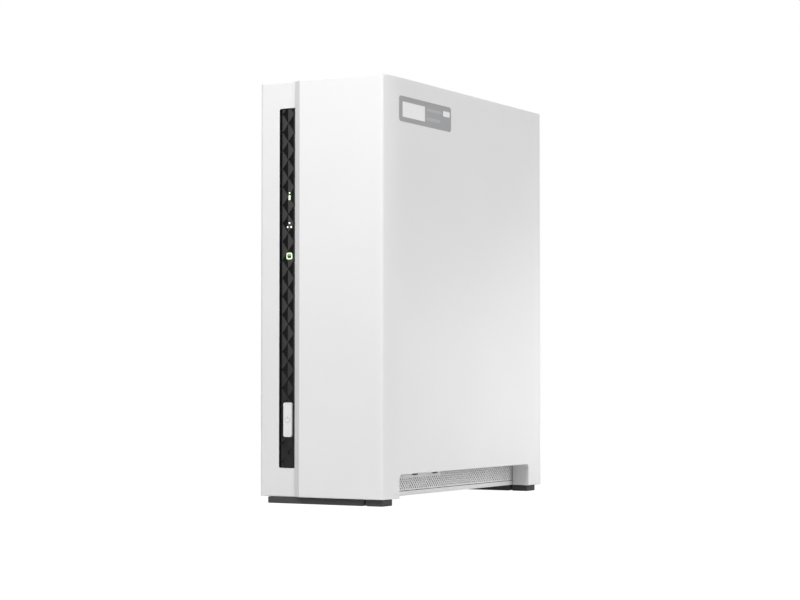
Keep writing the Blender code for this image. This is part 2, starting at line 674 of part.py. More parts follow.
def mainboard():
    board = block("mainboard", BOARD, (-58, 73), (ROOF_TOP + 0.6, 152))
    holes = [rod("hole", "X", place, 1.7, (BOARD[0] - 1, BOARD[1] + 1), 12) for place in BOARD_SCREWS]
    dress(cut(board, *holes), "board")
    for number, place in enumerate(BOARD_SCREWS, 1):
        screw(f"board_screw_{number}", "X", place, BOARD[1] + 0.1, 1, (2.8, 1.8), (1.25, 6.5))


def chips():
    """Flat parts on the board's right face."""
    for name, (y, z, height) in CHIPS.items():
        dress(block(name, (CHIP_X, CHIP_X + height), y, z), "chip")
    battery = prism("clock_battery", circle(BATTERY, 10, 32), (CHIP_X, CHIP_X + 3.2), "X")
    dress(battery, "steel", smooth=True)
    buzzer = rod("buzzer", "X", BUZZER, 4.75, (CHIP_X, CHIP_X + 5), 24)
    hole = rod("hole", "X", BUZZER, 0.9, (CHIP_X + 3, CHIP_X + 6), 12)
    dress(cut(buzzer, hole), "chip", smooth=True)
    header = block("fan_header", (CHIP_X, -17.6), (40.5, 47.5), (116.5, 122.0))
    dress(header, "chip")


def heatsink():
    """A comb of fins seen from above, extruded upwards."""
    base, top = CHIP_X + 1.5 + 0.1, CHIP_X + 11.0
    low, high, fins, thick = -5.0, 23.0, 8, 1.2
    pitch = (high - low - thick) / (fins - 1)
    outline = [(base, low)]
    for i in range(fins):
        y = low + i * pitch
        if i:
            outline.append((base + 1.6, y))
        outline += [(top, y), (top, y + thick)]
        if i < fins - 1:
            outline.append((base + 1.6, y + thick))
    outline.append((base, high))
    return dress(prism("heatsink", outline, (85, 113)), "aluminium")


def reset_parts():
    x, z = RESET
    switch = block("reset_switch", (CHIP_X, x + 2.5), (66.5, 71.0), (z - 3, z + 3))
    dress(switch, "chip")
    button = rod("reset_button", "Y", RESET, 1.1, (71.8, PANEL[0] - GAP), 16)
    dress(button, "foot", smooth=True)
    pivot_at(button, (x, 71.8, z))


def riser():
    """The drive's small level board, its slot on the mainboard and its receptacle."""
    low, high = RISER
    slot_block = block("riser_slot", (CHIP_X, -15.8), (-45, 3), (low - 3.1, high + 3.1))
    cut(slot_block, block("groove", (-22.0, -10), (-44, 2), (low - GAP, high + GAP)))
    dress(slot_block, "chip")
    dress(block("riser_board", (-21.6, 6.5), (-43.6, 1.6), RISER), "board")
    receptacle = block("sata_receptacle", (-4.6, 2.4), (-43.0, -3.0), (high + GAP, DRIVE_Z[0] - 0.5))
    cut(receptacle, block("groove", (-1.8, 0.4), (-40.5, -5.5), (high + 2.4, DRIVE_Z[0] + 3)))
    dress(receptacle, "chip")


# --- Hard drive --------------------------------------------------------------


def drive_bracket():
    inner = (DRIVE_Y[0] - GAP, DRIVE_Y[1] + GAP)
    outer = (inner[0] - BRACKET_FLANGE, inner[1] + BRACKET_FLANGE)
    tip = 7.0
    outline = [(BRACKET_X[0], outer[0]), (tip, outer[0]), (tip, inner[0]), (BRACKET_X[1], inner[0]),
               (BRACKET_X[1], inner[1]), (tip, inner[1]), (tip, outer[1]), (BRACKET_X[0], outer[1])]
    bracket = prism("drive_bracket", outline, (36, 172))
    windows = [block("window", (-12, -5.5), (-52, 22), span) for span in ((46, 100), (112, 160))]
    holes = [rod("hole", "Y", (SIDE_HOLE_X, z), 1.8, (outer[0] - 3, outer[1] + 3), 12)
             for z in SIDE_HOLE_HEIGHTS]
    dress(cut(bracket, *windows, *holes), "steel")
    for end, seat, facing in (("front", outer[0] - 0.1, -1), ("rear", outer[1] + 0.1, 1)):
        for level, z in zip(("lower", "upper"), SIDE_HOLE_HEIGHTS):
            screw(f"drive_screw_{end}_{level}", "Y", (SIDE_HOLE_X, z), seat, facing, (2.9, 1.6), (1.3, 5.0))


def drive_case():
    body_x = (DRIVE_X[0] + 1.9, DRIVE_X[1] - 1.5)
    case = prism("drive_case", rounded(DRIVE_Y, DRIVE_Z, 2.5, 4), body_x, "X")
    floor_x = 4.0
    hollow_outline = rounded((DRIVE_Y[0] + 2.6, DRIVE_Y[1] - 2.6), (DRIVE_Z[0] + 10, DRIVE_Z[1] - 2.6), 6, 4)
    room = prism("room", hollow_outline, (floor_x, DRIVE_X[1] + 5), "X")
    socket = block("socket", (DRIVE_X[0] - 5, 3.4), (-42.4, -3.6), (DRIVE_Z[0] - 5, DRIVE_Z[0] + 6.4))
    cut(case, room, socket)
    join(case, rod("spindle_seat", "X", SPINDLE, 9, (floor_x - 0.5, floor_x + 0.8), 24),
         rod("pivot_seat", "X", PIVOT, 5, (floor_x - 0.5, floor_x + 0.8), 20))
    holes = []
    for side, y in ((-1, DRIVE_Y[0]), (1, DRIVE_Y[1])):
        for z in SIDE_HOLE_HEIGHTS:
            span = sorted((y + side * 2, y - side * 4.8))
            holes.append(rod("hole", "Y", (SIDE_HOLE_X, z), 1.65, span, 12))
    cut(case, *holes)
    dress(case, "aluminium")
    lid_outline = rounded((DRIVE_Y[0] + 0.6, DRIVE_Y[1] - 0.6), (DRIVE_Z[0] + 8, DRIVE_Z[1] - 0.6), 2.2, 4)
    lid = prism("drive_lid", lid_outline, (body_x[1] + GAP, DRIVE_X[1]), "X")
    dress(lid, "steel")


def drive_board():
    board = block("drive_board", (DRIVE_X[0], DRIVE_X[0] + 1.6), (-60, 30), (DRIVE_Z[0] + 2, 102))
    plug = block("plug", (DRIVE_X[0] + 0.5, 3.0), (-42, -4), (DRIVE_Z[0] + 0.2, DRIVE_Z[0] + 6))
    tongue = block("tongue", (-1.3, -0.1), (-40, -6), (DRIVE_Z[0] - 4.8, DRIVE_Z[0] + 1))
    return dress(join(board, plug, tongue), "board")


def platter_stack():
    """Three discs on a hub."""
    y, z = SPINDLE
    profile = [(6, 5.1), (12, 5.1)]
    for disc in DISCS:
        far = disc + DISC_THICK
        profile += [(12, disc), (PLATTER_RADIUS, disc), (PLATTER_RADIUS, far), (12, far)]
    profile += [(12, 17.4), (6, 17.4)]
    rings = [[(x, a, b) for a, b in circle(SPINDLE, radius, 40)] for radius, x in profile]
    stack = loft("platter_stack", rings)
    dress(stack, "steel", smooth=True)
    return pivot_at(stack, (5.1, y, z))


def head_arm():
    """Two arms between the discs and a coil paddle, on one pivot."""
    y, z = PIVOT
    arm = rod("head_arm", "X", PIVOT, 6.2, (5.1, 17.4), 20)
    # At rest the arms point just clear of the discs, towards the case's rear wall.
    aim = math.atan2(SPINDLE[1] - z, SPINDLE[0] - y)
    turn = aim - math.radians(56)
    way, side = (math.cos(turn), math.sin(turn)), (-math.sin(turn), math.cos(turn))

    def turned(corners):
        return [(y + way[0] * a + side[0] * b, z + way[1] * a + side[1] * b) for a, b in corners]

    blade = turned(((3, -5), (20, -3.2), (43, -1.1), (43, 1.1), (20, 3.2), (3, 5)))
    parts = [prism("arm", blade, (x, x + 1.0), "X") for x in (8.7, 12.7)]
    paddle = turned(((-4, -5), (-22, -13), (-25, 0), (-22, 13), (-4, 5)))
    parts.append(prism("paddle", paddle, (9.6, 12.2), "X"))
    join(arm, *parts)
    dress(arm, "aluminium", smooth=True)
    return pivot_at(arm, (5.1, y, z))


def cover_screws():
    seat = PANEL[1] - HEAD_SINK + 0.1
    for name, z in zip(("cover_screw_lower", "cover_screw_upper"), COVER_SCREW_HEIGHTS):
        screw(name, "Y", (COVER_SCREW_X, z), seat, 1, (3.0, 1.5), (1.25, 7.5))


def main():
    for old in list(bpy.data.objects):
        bpy.data.objects.remove(old)
    left_shell()
    right_cover()
    base_frame()
    vent_grilles()
    feet()
    indicator_strip()
    lights()
    power_button()
    front_board()
    power_switch()
    front_lead()
    rear_panel()
    fan()
    fan_lead()
    cover_screws()
    mainboard()
    chips()
    heatsink()
    ports()
    reset_parts()
    riser()
    drive_bracket()
    drive_case()
    drive_board()
    platter_stack()
    head_arm()


main()
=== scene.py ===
"""The looks of the one-bay network storage tower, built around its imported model.

Lengths are millimetres, turned into metres as vertices are made, in the model's own frame:
the front faces -Y, the removable cover is on +X and +Z is up.
"""

import math

import bmesh
import bpy
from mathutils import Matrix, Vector


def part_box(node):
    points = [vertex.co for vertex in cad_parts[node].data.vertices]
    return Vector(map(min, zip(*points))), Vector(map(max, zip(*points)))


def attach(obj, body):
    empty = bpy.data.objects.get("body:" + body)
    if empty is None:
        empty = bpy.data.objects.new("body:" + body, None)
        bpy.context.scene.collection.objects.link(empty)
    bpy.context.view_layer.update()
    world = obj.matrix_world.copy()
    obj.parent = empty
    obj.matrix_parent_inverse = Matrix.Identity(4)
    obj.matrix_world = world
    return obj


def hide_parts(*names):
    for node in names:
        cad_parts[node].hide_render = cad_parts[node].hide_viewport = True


MM = 0.001
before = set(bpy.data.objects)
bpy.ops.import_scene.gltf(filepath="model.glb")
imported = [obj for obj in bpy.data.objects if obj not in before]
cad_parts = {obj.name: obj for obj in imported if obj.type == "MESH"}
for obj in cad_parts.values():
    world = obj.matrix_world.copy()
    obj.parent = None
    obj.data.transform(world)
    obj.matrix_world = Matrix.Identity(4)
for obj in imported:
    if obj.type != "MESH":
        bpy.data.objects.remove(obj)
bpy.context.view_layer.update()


# --- Making solids -----------------------------------------------------------


def spans(node):
    """A CAD node's low and high value on X, Y and Z, in millimetres."""
    low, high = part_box(node)
    return [(low[i] / MM, high[i] / MM) for i in range(3)]


def around(centre, reach):
    """The span that reaches equally far both ways from its centre."""
    return (centre - reach, centre + reach)


def widened(span, by):
    """A span moved out at both ends, or in by a negative length."""
    return (span[0] - by, span[1] + by)


def rectangle(first, second):
    """A rectangle outline, counter-clockwise, from its two spans."""
    return [(first[0], second[0]), (first[1], second[0]), (first[1], second[1]), (first[0], second[1])]


def loft(name, rings):
    """A closed solid through rings of equally many points."""
    mesh = bmesh.new()
    rows = [[mesh.verts.new([c * MM for c in point]) for point in ring] for ring in rings]
    count = len(rows[0])
    for low, high in zip(rows, rows[1:]):
        for i in range(count):
            j = (i + 1) % count
            mesh.faces.new((low[i], low[j], high[j], high[i]))
    mesh.faces.new(rows[0][::-1])
    mesh.faces.new(rows[-1])
    bmesh.ops.recalc_face_normals(mesh, faces=mesh.faces)
    return made(name, mesh)


def made(name, mesh):
    """An object in the scene from a bmesh, which is freed."""
    data = bpy.data.meshes.new(name)
    mesh.to_mesh(data)
    mesh.free()
    solid = bpy.data.objects.new(name, data)
    bpy.context.scene.collection.objects.link(solid)
    return solid


def placed(axis, first, second, along):
    """A point from two in-plane coordinates and the one along the axis."""
    if axis == "X":
        return (along, first, second)
    if axis == "Y":
        return (first, along, second)
    return (first, second, along)


def arc(centre, radius, start, end, steps):
    angles = (math.radians(start + (end - start) * i / steps) for i in range(steps + 1))
    return [(centre[0] + radius * math.cos(a), centre[1] + radius * math.sin(a)) for a in angles]


def circle(centre, radius, sides):
    return arc(centre, radius, 0, 360 - 360 / sides, sides - 1)


def rounded(first, second, radius, steps=6):
    """A rectangle outline with round corners, counter-clockwise, from its two spans."""
    corners = ((first[1], second[0], 270), (first[1], second[1], 0),
               (first[0], second[1], 90), (first[0], second[0], 180))
    outline = []
    for a, b, start in corners:
        centre = (a - math.copysign(radius, a - sum(first) / 2),
                  b - math.copysign(radius, b - sum(second) / 2))
        outline += arc(centre, radius, start, start + 90, steps)
    return outline


def shrunk(outline, inset):
    """A counter-clockwise outline moved in by the inset, with mitred corners."""
    if not inset:
        return list(outline)
    result = []
    for i, (x, y) in enumerate(outline):
        before, after = outline[i - 1], outline[(i + 1) % len(outline)]
        sides = []
        for (ax, ay), (bx, by) in ((before, (x, y)), ((x, y), after)):
            length = math.hypot(bx - ax, by - ay)
            sides.append((-(by - ay) / length, (bx - ax) / length))
        (nx, ny), (mx, my) = sides
        reach = inset / (1 + nx * mx + ny * my)
        result.append((x + (nx + mx) * reach, y + (ny + my) * reach))
    return result


def prism(name, outline, span, axis="Z", edge=(0, 0), steps=3):
    """An extruded outline whose low and high ends have rounded edges of the given radii."""
    low, high = span
    rings = []
    for i in range(steps + 1 if edge[0] else 1):
        turn = math.pi / 2 * i / steps
        rings.append((edge[0] * (1 - math.sin(turn)), low + edge[0] * (1 - math.cos(turn))))
    for i in range(steps + 1 if edge[1] else 1):
        turn = math.pi / 2 * (1 - i / steps)
        rings.append((edge[1] * (1 - math.sin(turn)), high - edge[1] * (1 - math.cos(turn))))
    return loft(name, [[placed(axis, a, b, at) for a, b in shrunk(outline, inset)]
                       for inset, at in rings])


def mouth(name, outline, depth, surface, axis, facing, radius, reach=1.0, steps=4):
    """A cutter from a depth out through a surface, flared there so that it rounds the edge."""
    rings = [(0, depth)]
    for i in range(steps + 1):
        turn = math.pi / 2 * i / steps
        rings.append((-radius * (1 - math.cos(turn)), surface - facing * radius * (1 - math.sin(turn))))
    rings.append((-radius, surface + facing * reach))
    if facing < 0:
        rings.reverse()
    return loft(name, [[placed(axis, a, b, at) for a, b in shrunk(outline, inset)]
                       for inset, at in rings])


def block(name, x, y, z, edge=0.0):
    """A box, with all its edges rounded if an edge radius is given."""
    if not edge:
        return prism(name, rectangle(x, y), z)
    # The corners are a little rounder than the edges, so that the inset ends keep all their points.
    return prism(name, rounded(x, y, edge * 1.15, 3), z, "Z", (edge, edge))


def rod(name, axis, centre, radius, span, sides=32, edge=(0, 0)):
    return prism(name, circle(centre, radius, sides), span, axis, edge)


def applied(solid):
    """The solid with its modifiers worked into its mesh."""
    graph = bpy.context.evaluated_depsgraph_get()
    result = bpy.data.meshes.new_from_object(solid.evaluated_get(graph))
    solid.modifiers.clear()
    solid.data = result
    return solid


def combine(solid, operation, others):
    """The solid after an exact Boolean with each of the others, which are used up."""
    for other in others:
        step = solid.modifiers.new(operation, "BOOLEAN")
        step.operation = operation
        step.solver = "EXACT"
        step.object = other
    applied(solid)
    for other in others:
        bpy.data.objects.remove(other)
    return solid


def cut(solid, *others):
    return combine(solid, "DIFFERENCE", others)


def join(solid, *others):
    return combine(solid, "UNION", others)


def keep(solid, other):
    return combine(solid, "INTERSECT", [other])


def gathered(name, solids):
    """Separate solids as one object, with nothing joined between them."""
    mesh = bmesh.new()
    for solid in solids:
        mesh.from_mesh(solid.data)
        bpy.data.objects.remove(solid)
    return made(name, mesh)


def smooth(solid, angle=32):
    """Smooth shading between sharp edges, with normals weighted so that wide flats stay flat."""
    solid.data.shade_smooth()
    solid.data.set_sharp_from_angle(angle=math.radians(angle))
    step = solid.modifiers.new("weighted", "WEIGHTED_NORMAL")
    step.keep_sharp = True
    step.weight = 100
    return applied(solid)


def painted(solid, look):
    """Gives an object one of the looks as its only material."""
    solid.data.materials.clear()
    solid.data.materials.append(LOOKS[look])


def finish(solid, look, node=None, body="chassis", angle=32):
    """Gives a piece its look and shading, ties it to its body and hides the CAD node it replaces."""
    painted(solid, look)
    smooth(solid, angle)
    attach(solid, body)
    if node:
        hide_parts(node)


# --- Camera, light and floor -------------------------------------------------

LENS = 89.96
CAMERA_SPOT = (467.9, -827.85, 54.8)
CAMERA_TURN, CAMERA_TILT = 29.677, 2.301

SKY_LEVEL = 0.15
# How the floor lights the object, and how bright the camera sees it
FLOOR_COLOUR, FLOOR_GLOW = 0.5, 0.2
FLOOR_SEEN_COLOUR, FLOOR_SEEN_GLOW = 0.1, 0.99
FLOOR_REACH = 6.0
# Each lamp's place and aim in metres, its width and height and its power
LAMPS = {
    "key_softbox": ((0.845, -0.845, 0.205), (0, 0, 0.1), (0.6, 0.6), 0.5),
    "upper_softbox": ((0.078, -0.443, 0.636), (0, 0, 0.1), (0.35, 0.35), 4.15),
    "strip_softbox": ((-0.273, -1.198, 0.480), (-0.018, -0.077, 0.1), (0.14, 0.9), 1.15),
    "side_softbox": ((1.2, 0.2, 0.4), (0, 0, 0.1), (0.6, 0.6), 5.1),
    "side_lamp": ((0.12, 0.26, 0.06), (0.033, 0.08, 0.05), (0.15, 0.15), 0.085),
    "low_lamp": ((0.14, 0.20, 0.04), (0.033, 0.10, 0.04), (0.1, 0.1), 0.035),
    "rear_softbox": ((-0.8, 0.9, 0.5), (0, 0, 0.1), (0.6, 0.6), 4.0),
}


def make_camera():
    camera = bpy.data.objects.new("camera", bpy.data.cameras.new("camera"))
    bpy.context.scene.collection.objects.link(camera)
    camera.data.lens = LENS
    camera.data.sensor_width = 36.0
    camera.data.clip_start, camera.data.clip_end = 0.01, 100
    camera.location = [c * MM for c in CAMERA_SPOT]
    camera.rotation_euler = (math.radians(90 + CAMERA_TILT), 0, math.radians(CAMERA_TURN))
    bpy.context.scene.camera = camera


def softbox(name, spot, target, size, power):
    """A lamp aimed at a point, which the camera itself doesn't see."""
    lamp = bpy.data.lights.new(name, "AREA")
    lamp.shape = "RECTANGLE"
    lamp.size, lamp.size_y = size
    lamp.energy = power
    holder = bpy.data.objects.new(name, lamp)
    bpy.context.scene.collection.objects.link(holder)
    holder.location = spot
    holder.rotation_euler = (Vector(target) - Vector(spot)).to_track_quat("-Z", "Y").to_euler()
    holder.visible_camera = False


def seen_and_lit(tree, seen, lit, output):
    """One shader for what the camera sees and another for how the surface lights the object."""
    path, mix = tree.nodes.new("ShaderNodeLightPath"), tree.nodes.new("ShaderNodeMixShader")
    tree.links.new(path.outputs["Is Camera Ray"], mix.inputs["Fac"])
    tree.links.new(lit, mix.inputs[1])
    tree.links.new(seen, mix.inputs[2])
    tree.links.new(mix.outputs["Shader"], output.inputs["Surface"])


def make_world():
    """An even sky that lights softly and that the camera sees as white."""
    world = bpy.data.worlds.new("studio")
    bpy.context.scene.world = world
    world.use_nodes = True
    tree = world.node_tree
    tree.nodes.clear()
    skies = []
    for level in (1.0, SKY_LEVEL):
        sky = tree.nodes.new("ShaderNodeBackground")
        sky.inputs["Color"].default_value = (1.0, 1.0, 1.0, 1.0)
        sky.inputs["Strength"].default_value = level
        skies.append(sky.outputs["Background"])
    seen_and_lit(tree, *skies, tree.nodes.new("ShaderNodeOutputWorld"))


def make_floor():
    """A plain pale sheet that glows, so that shadows on it stay faint."""
    mesh = bmesh.new()
    span = around(0, FLOOR_REACH)
    mesh.faces.new([mesh.verts.new((x, y, 0)) for x, y in rectangle(span, span)])
    floor = made("floor", mesh)
    material = bpy.data.materials.new("floor")
    material.use_nodes = True
    tree = material.node_tree
    tree.nodes.clear()
    shaders = []
    for colour, glow in ((FLOOR_SEEN_COLOUR, FLOOR_SEEN_GLOW), (FLOOR_COLOUR, FLOOR_GLOW)):
        shader = tree.nodes.new("ShaderNodeBsdfPrincipled")
        shader.inputs["Base Color"].default_value = (colour, colour, colour, 1)
        shader.inputs["Roughness"].default_value = 0.9
        shader.inputs["Specular IOR Level"].default_value = 0.0
        shader.inputs["Emission Color"].default_value = (1, 1, 1, 1)
        shader.inputs["Emission Strength"].default_value = glow
        shaders.append(shader.outputs["BSDF"])
    seen_and_lit(tree, *shaders, tree.nodes.new("ShaderNodeOutputMaterial"))
    floor.data.materials.append(material)


def make_stage():
    make_camera()
    make_world()
    make_floor()
    for name, (spot, target, size, power) in LAMPS.items():
        softbox(name, spot, target, size, power)
    bpy.context.scene.view_settings.view_transform = "Standard"


# --- Materials ---------------------------------------------------------------


class Shader:
    """A node material under construction: a Principled shader and helpers around it."""

    def __init__(self, name, colour, roughness, metallic=0.0, specular=0.5):
        self.material = bpy.data.materials.new(name)
        self.material.use_nodes = True
        self.nodes, self.links = self.material.node_tree.nodes, self.material.node_tree.links
        self.main = self.nodes["Principled BSDF"]
        self.main.inputs["Base Color"].default_value = (*colour, 1.0)
        self.main.inputs["Roughness"].default_value = roughness
        self.main.inputs["Metallic"].default_value = metallic
        self.main.inputs["Specular IOR Level"].default_value = specular
        self.place = self.nodes.new("ShaderNodeTexCoord").outputs["Object"]

    def node(self, kind, inputs=(), links=(), **settings):
        """A node with its settings, its constant inputs and its linked inputs."""
        node = self.nodes.new("ShaderNode" + kind)
        for key, value in settings.items():
            setattr(node, key, value)
        for key, value in dict(inputs).items():
            node.inputs[key].default_value = value
        for key, value in dict(links).items():
            self.links.new(value, node.inputs[key])
        return node

    def noise(self, size, detail=2.0, stretch=(1, 1, 1)):
        """Noise whose features are about size millimetres across, times the stretch on each axis."""
        scaled = self.node("Mapping", {"Scale": [1 / s for s in stretch]}, {"Vector": self.place})
        return self.node("TexNoise", {"Scale": 1 / (size * MM), "Detail": detail},
                         {"Vector": scaled.outputs["Vector"]}).outputs["Fac"]

    def between(self, value, low, high, start=0.35, end=0.65):
        """The value mapped from start..end to low..high."""
        numbers = {"From Min": start, "From Max": end, "To Min": low, "To Max": high}
        return self.node("MapRange", numbers, {"Value": value}).outputs["Result"]

    def tint(self, factor, first, second):
        """A colour between two, by a factor."""
        mix = self.node("Mix", data_type="RGBA", links={"Factor": factor})
        mix.inputs["A"].default_value = (*first, 1)
        mix.inputs["B"].default_value = (*second, 1)
        return mix.outputs["Result"]

    def swapped(self):
        """The place with Y and Z first, for patterns on upright boards."""
        parts = self.node("SeparateXYZ", links={"Vector": self.place}).outputs
        joined = self.node("CombineXYZ", links={"X": parts["Y"], "Y": parts["Z"], "Z": parts["X"]})
        return joined.outputs["Vector"]

    def feed(self, value, socket):
        self.links.new(value, self.main.inputs[socket])

    def bump(self, height, strength, distance):
        node = self.node("Bump", {"Strength": strength, "Distance": distance * MM}, {"Height": height})
        self.feed(node.outputs["Normal"], "Normal")


def moulded(name, colour, roughness, grain=0.35, depth=0.008, specular=0.45, unevenness=0.985, shaded_band=None):
    """Moulded plastic: a fine spark-eroded grain and a slight unevenness of tone.

    A shaded band is an X span, the rearmost Y and a tone: there the plastic's colour is darkened by that
    tone, as painted shade.
    """
    shader = Shader(name, colour, roughness, 0.0, specular)
    fine = shader.noise(grain)
    shader.feed(shader.between(fine, roughness - 0.05, roughness + 0.05), "Roughness")
    darker = [c * unevenness for c in colour]
    tone = shader.tint(shader.between(shader.noise(45.0, 1.0), 0, 1), colour, darker)
    # Painted shade: the colour is darkened inside the band's span.
    if shaded_band:
        (low, high), rear, shade = shaded_band
        parts = shader.node("SeparateXYZ", links={"Vector": shader.place}).outputs
        inside = None
        for axis, start, end in (("X", low, low + 0.1), ("X", high, high - 0.4), ("Y", rear, rear - 0.05)):
            edge = shader.between(parts[axis], 0, 1, start * MM, end * MM)
            if inside:
                edge = shader.node("Math", operation="MULTIPLY", links={0: inside, 1: edge}).outputs["Value"]
            inside = edge
        whole = shader.node("Mix", data_type="RGBA", blend_type="MULTIPLY",
                            links={"Factor": inside, "A": tone})
        whole.inputs["B"].default_value = (shade, shade, shade, 1)
        tone = whole.outputs["Result"]
    shader.feed(tone, "Base Color")
    shader.bump(fine, 0.35, depth)
    return shader.material


def rolled(name, colour, roughness, stretch=(1, 1, 25), mottle=6.0, depth=0.004):
    """Metal with drawn streaks along one axis and a faint mottle."""
    shader = Shader(name, colour, roughness, 1.0)
    streaks = shader.noise(0.12, 3.0, stretch)
    shader.feed(shader.between(streaks, roughness - 0.07, roughness + 0.09), "Roughness")
    duller = [c * 0.86 for c in colour]
    shader.feed(shader.tint(shader.between(shader.noise(mottle, 3.0), 0, 1), colour, duller), "Base Color")
    shader.bump(streaks, 0.3, depth)
    return shader.material


def solder_mask(name, colour):
    """A circuit board: woven base under a lacquer, with pale copper tracks showing through."""
    shader = Shader(name, colour, 0.32, 0.0, 0.5)
    lighter, darker = [c * 1.9 for c in colour], [c * 0.75 for c in colour]
    tracks = shader.node("TexBrick", {"Scale": 420.0, "Mortar Size": 0.09, "Brick Width": 1.7,
                                      "Row Height": 0.22}, {"Vector": shader.swapped()})
    patches = shader.between(shader.noise(9.0, 0.0), 0, 1, 0.47, 0.5)
    mask = shader.node("Math", operation="MULTIPLY", links={0: tracks.outputs["Fac"], 1: patches})
    shader.feed(shader.tint(mask.outputs["Value"], lighter, darker), "Base Color")
    shader.feed(shader.between(shader.noise(1.5), 0.26, 0.4), "Roughness")
    shader.bump(tracks.outputs["Fac"], 0.25, 0.02)
    return shader.material


def glowing(name, colour, strength):
    """A lit light guide: brightest in the middle of its frosted face."""
    shader = Shader(name, colour, 0.35)
    shader.main.inputs["Emission Strength"].default_value = strength
    warm = [min(1, c * 1.1) for c in colour]
    shader.feed(shader.tint(shader.between(shader.noise(0.5), 0, 1), colour, warm), "Emission Color")
    return shader.material


def lit_strip(name, glows):
    """Glossy black plastic with a soft stray glow around each lit mark."""
    shader = Shader(name, (0.005, 0.005, 0.0055), 0.17, 0.0, 0.5)
    total = None
    for centre, reach, colour in glows:
        away = shader.node("VectorMath", operation="DISTANCE", links={0: shader.place})
        away.inputs[1].default_value = [c * MM for c in centre]
        near = shader.between(away.outputs["Value"], 1.0, 0.0, 0.0, reach * MM)
        fall = shader.node("Math", {1: 2.0}, {0: near}, operation="POWER").outputs["Value"]
        glow = shader.tint(fall, (0, 0, 0), colour)
        if total is None:
            total = glow
        else:
            both = shader.node("Mix", data_type="RGBA", blend_type="ADD", links={"A": total, "B": glow})
            both.inputs["Factor"].default_value = 1.0
            total = both.outputs["Result"]
    shader.feed(total, "Emission Color")
    shader.main.inputs["Emission Strength"].default_value = 1.0
    shader.bump(shader.noise(0.6), 0.1, 0.001)
    return shader.material


# --- Case --------------------------------------------------------------------

SHELL, COVER, STRIP = spans("left_shell"), spans("right_cover"), spans("indicator_strip")
LEFT, RIGHT = SHELL[0][0], COVER[0][1]
FRONT, REAR = COVER[1]
CASE_BOTTOM, HEIGHT = COVER[2]
STEP = SHELL[1][0] - FRONT
WALL, GAP = 2.2, 0.3
LAP = 2.0
SLOT_LEFT, SEAM_X = STRIP[0][0] + LAP - 0.35, STRIP[0][1] - LAP
SLOT_BOTTOM, SLOT_TOP = STRIP[2][0] + 1.6, STRIP[2][1] - 1.6
BAND_X = SEAM_X + 3.15
HOLLOW_RADIUS, HOLLOW_TURN = 8.0, 18
CORNERS = {"front_left": 2.0, "rear": 1.5}
# The right side bends gently in towards the front, then turns tightly into it.
BEND_RADIUS, BEND_START, CORNER_RADIUS = 80.0, 15.0, 1.4
TOP_EDGE, BOTTOM_EDGE = 0.35, 0.4
INNER_X, INNER_TOP = RIGHT - WALL, HEIGHT - WALL
LEFT_INNER_FRONT, RIGHT_INNER_FRONT = FRONT + STEP + WALL, FRONT + WALL
HAIRLINE = 0.04
BOSS_RADIUS, PILOT_RADIUS, RIB = 3.2, 1.6, 1.2
GRILLE_X = spans("vent_grille_right")[0][1]
NOTCH = (FRONT + 13.0, FRONT + 141.5)
NOTCH_DRAFT, NOTCH_TOP, NOTCH_ROUND = 1.9, 13.45, 1.9
ROOF_TOP = NOTCH_TOP + WALL
PANEL = spans("rear_panel")[1]
BOARD_X = spans("mainboard")[0]
FRONT_BOARD = spans("front_board")[1]


def middle(node, *axes):
    """The middle of a CAD node's box on the named axes."""
    box = spans(node)
    return tuple(sum(box["XYZ".index(axis)]) / 2 for axis in axes)


def case_outline():
    """The case seen from above: a set-back left part, a hollow sweep and a slanting band."""
    left, rear = CORNERS["front_left"], CORNERS["rear"]
    turn = math.asin((BEND_START - CORNER_RADIUS) / (BEND_RADIUS - CORNER_RADIUS))
    bend = (RIGHT - BEND_RADIUS, FRONT + BEND_START)
    corner = (bend[0] + (BEND_RADIUS - CORNER_RADIUS) * math.cos(turn), FRONT + CORNER_RADIUS)
    end = 360 - math.degrees(turn)
    start = SEAM_X - HOLLOW_RADIUS * math.sin(math.radians(HOLLOW_TURN))
    outline = arc((LEFT + left, FRONT + STEP + left), left, 180, 270, 12)
    outline += arc((start, FRONT + STEP - HOLLOW_RADIUS), HOLLOW_RADIUS, 90, 90 - HOLLOW_TURN, 9)
    outline += [(BAND_X - 0.1, FRONT + 0.04), (BAND_X + 0.1, FRONT)]
    outline += arc(corner, CORNER_RADIUS, 270, end, 12)[:-1]
    outline += arc(bend, BEND_RADIUS, end, 360, 8)
    outline += arc((RIGHT - rear, REAR - rear), rear, 0, 90, 8)
    outline += arc((LEFT + rear, REAR - rear), rear, 90, 180, 8)
    return outline


def notch(side):
    """Cutter for the cut-away under a side wall, with splayed ends and a rounded outer edge."""
    rings, edge, steps = [], 0.3, 4
    places = [(GRILLE_X, 0.0), (RIGHT - edge, 0.0)]
    for i in range(1, steps + 1):
        turn = math.pi / 2 * i / steps
        places.append((RIGHT - edge * (1 - math.sin(turn)), edge * (1 - math.cos(turn))))
    places.append((RIGHT + 1, edge))
    for x, flare in places:
        splay = NOTCH_DRAFT * (RIGHT - x) / (RIGHT - GRILLE_X)
        profile = rounded(widened(NOTCH, splay), (-NOTCH_TOP, NOTCH_TOP), NOTCH_ROUND, 6)
        rings.append([(side * x, y, z) for y, z in shrunk(profile, -flare)])
    return loft("notch", rings)


def hollow(side, front):
    """Cutters that empty one half of the case and leave its walls, legs and notch roof."""
    wall = sorted((side * INNER_X, -side * 2 * RIGHT))
    centre = sorted((side * (GRILLE_X + GAP), -side * 2 * RIGHT))
    back, leg_floor, overlap = REAR + 5, CASE_BOTTOM + WALL, ROOF_TOP + 0.5
    return (
        block("room", wall, (front, back), (ROOF_TOP, INNER_TOP)),
        block("front_leg", wall, (front, NOTCH[0] - NOTCH_DRAFT - WALL), (leg_floor, overlap)),
        block("rear_leg", wall, (NOTCH[1] + NOTCH_DRAFT + WALL, back), (leg_floor, overlap)),
        block("under", centre, (front, back), (-1, overlap)),
    )


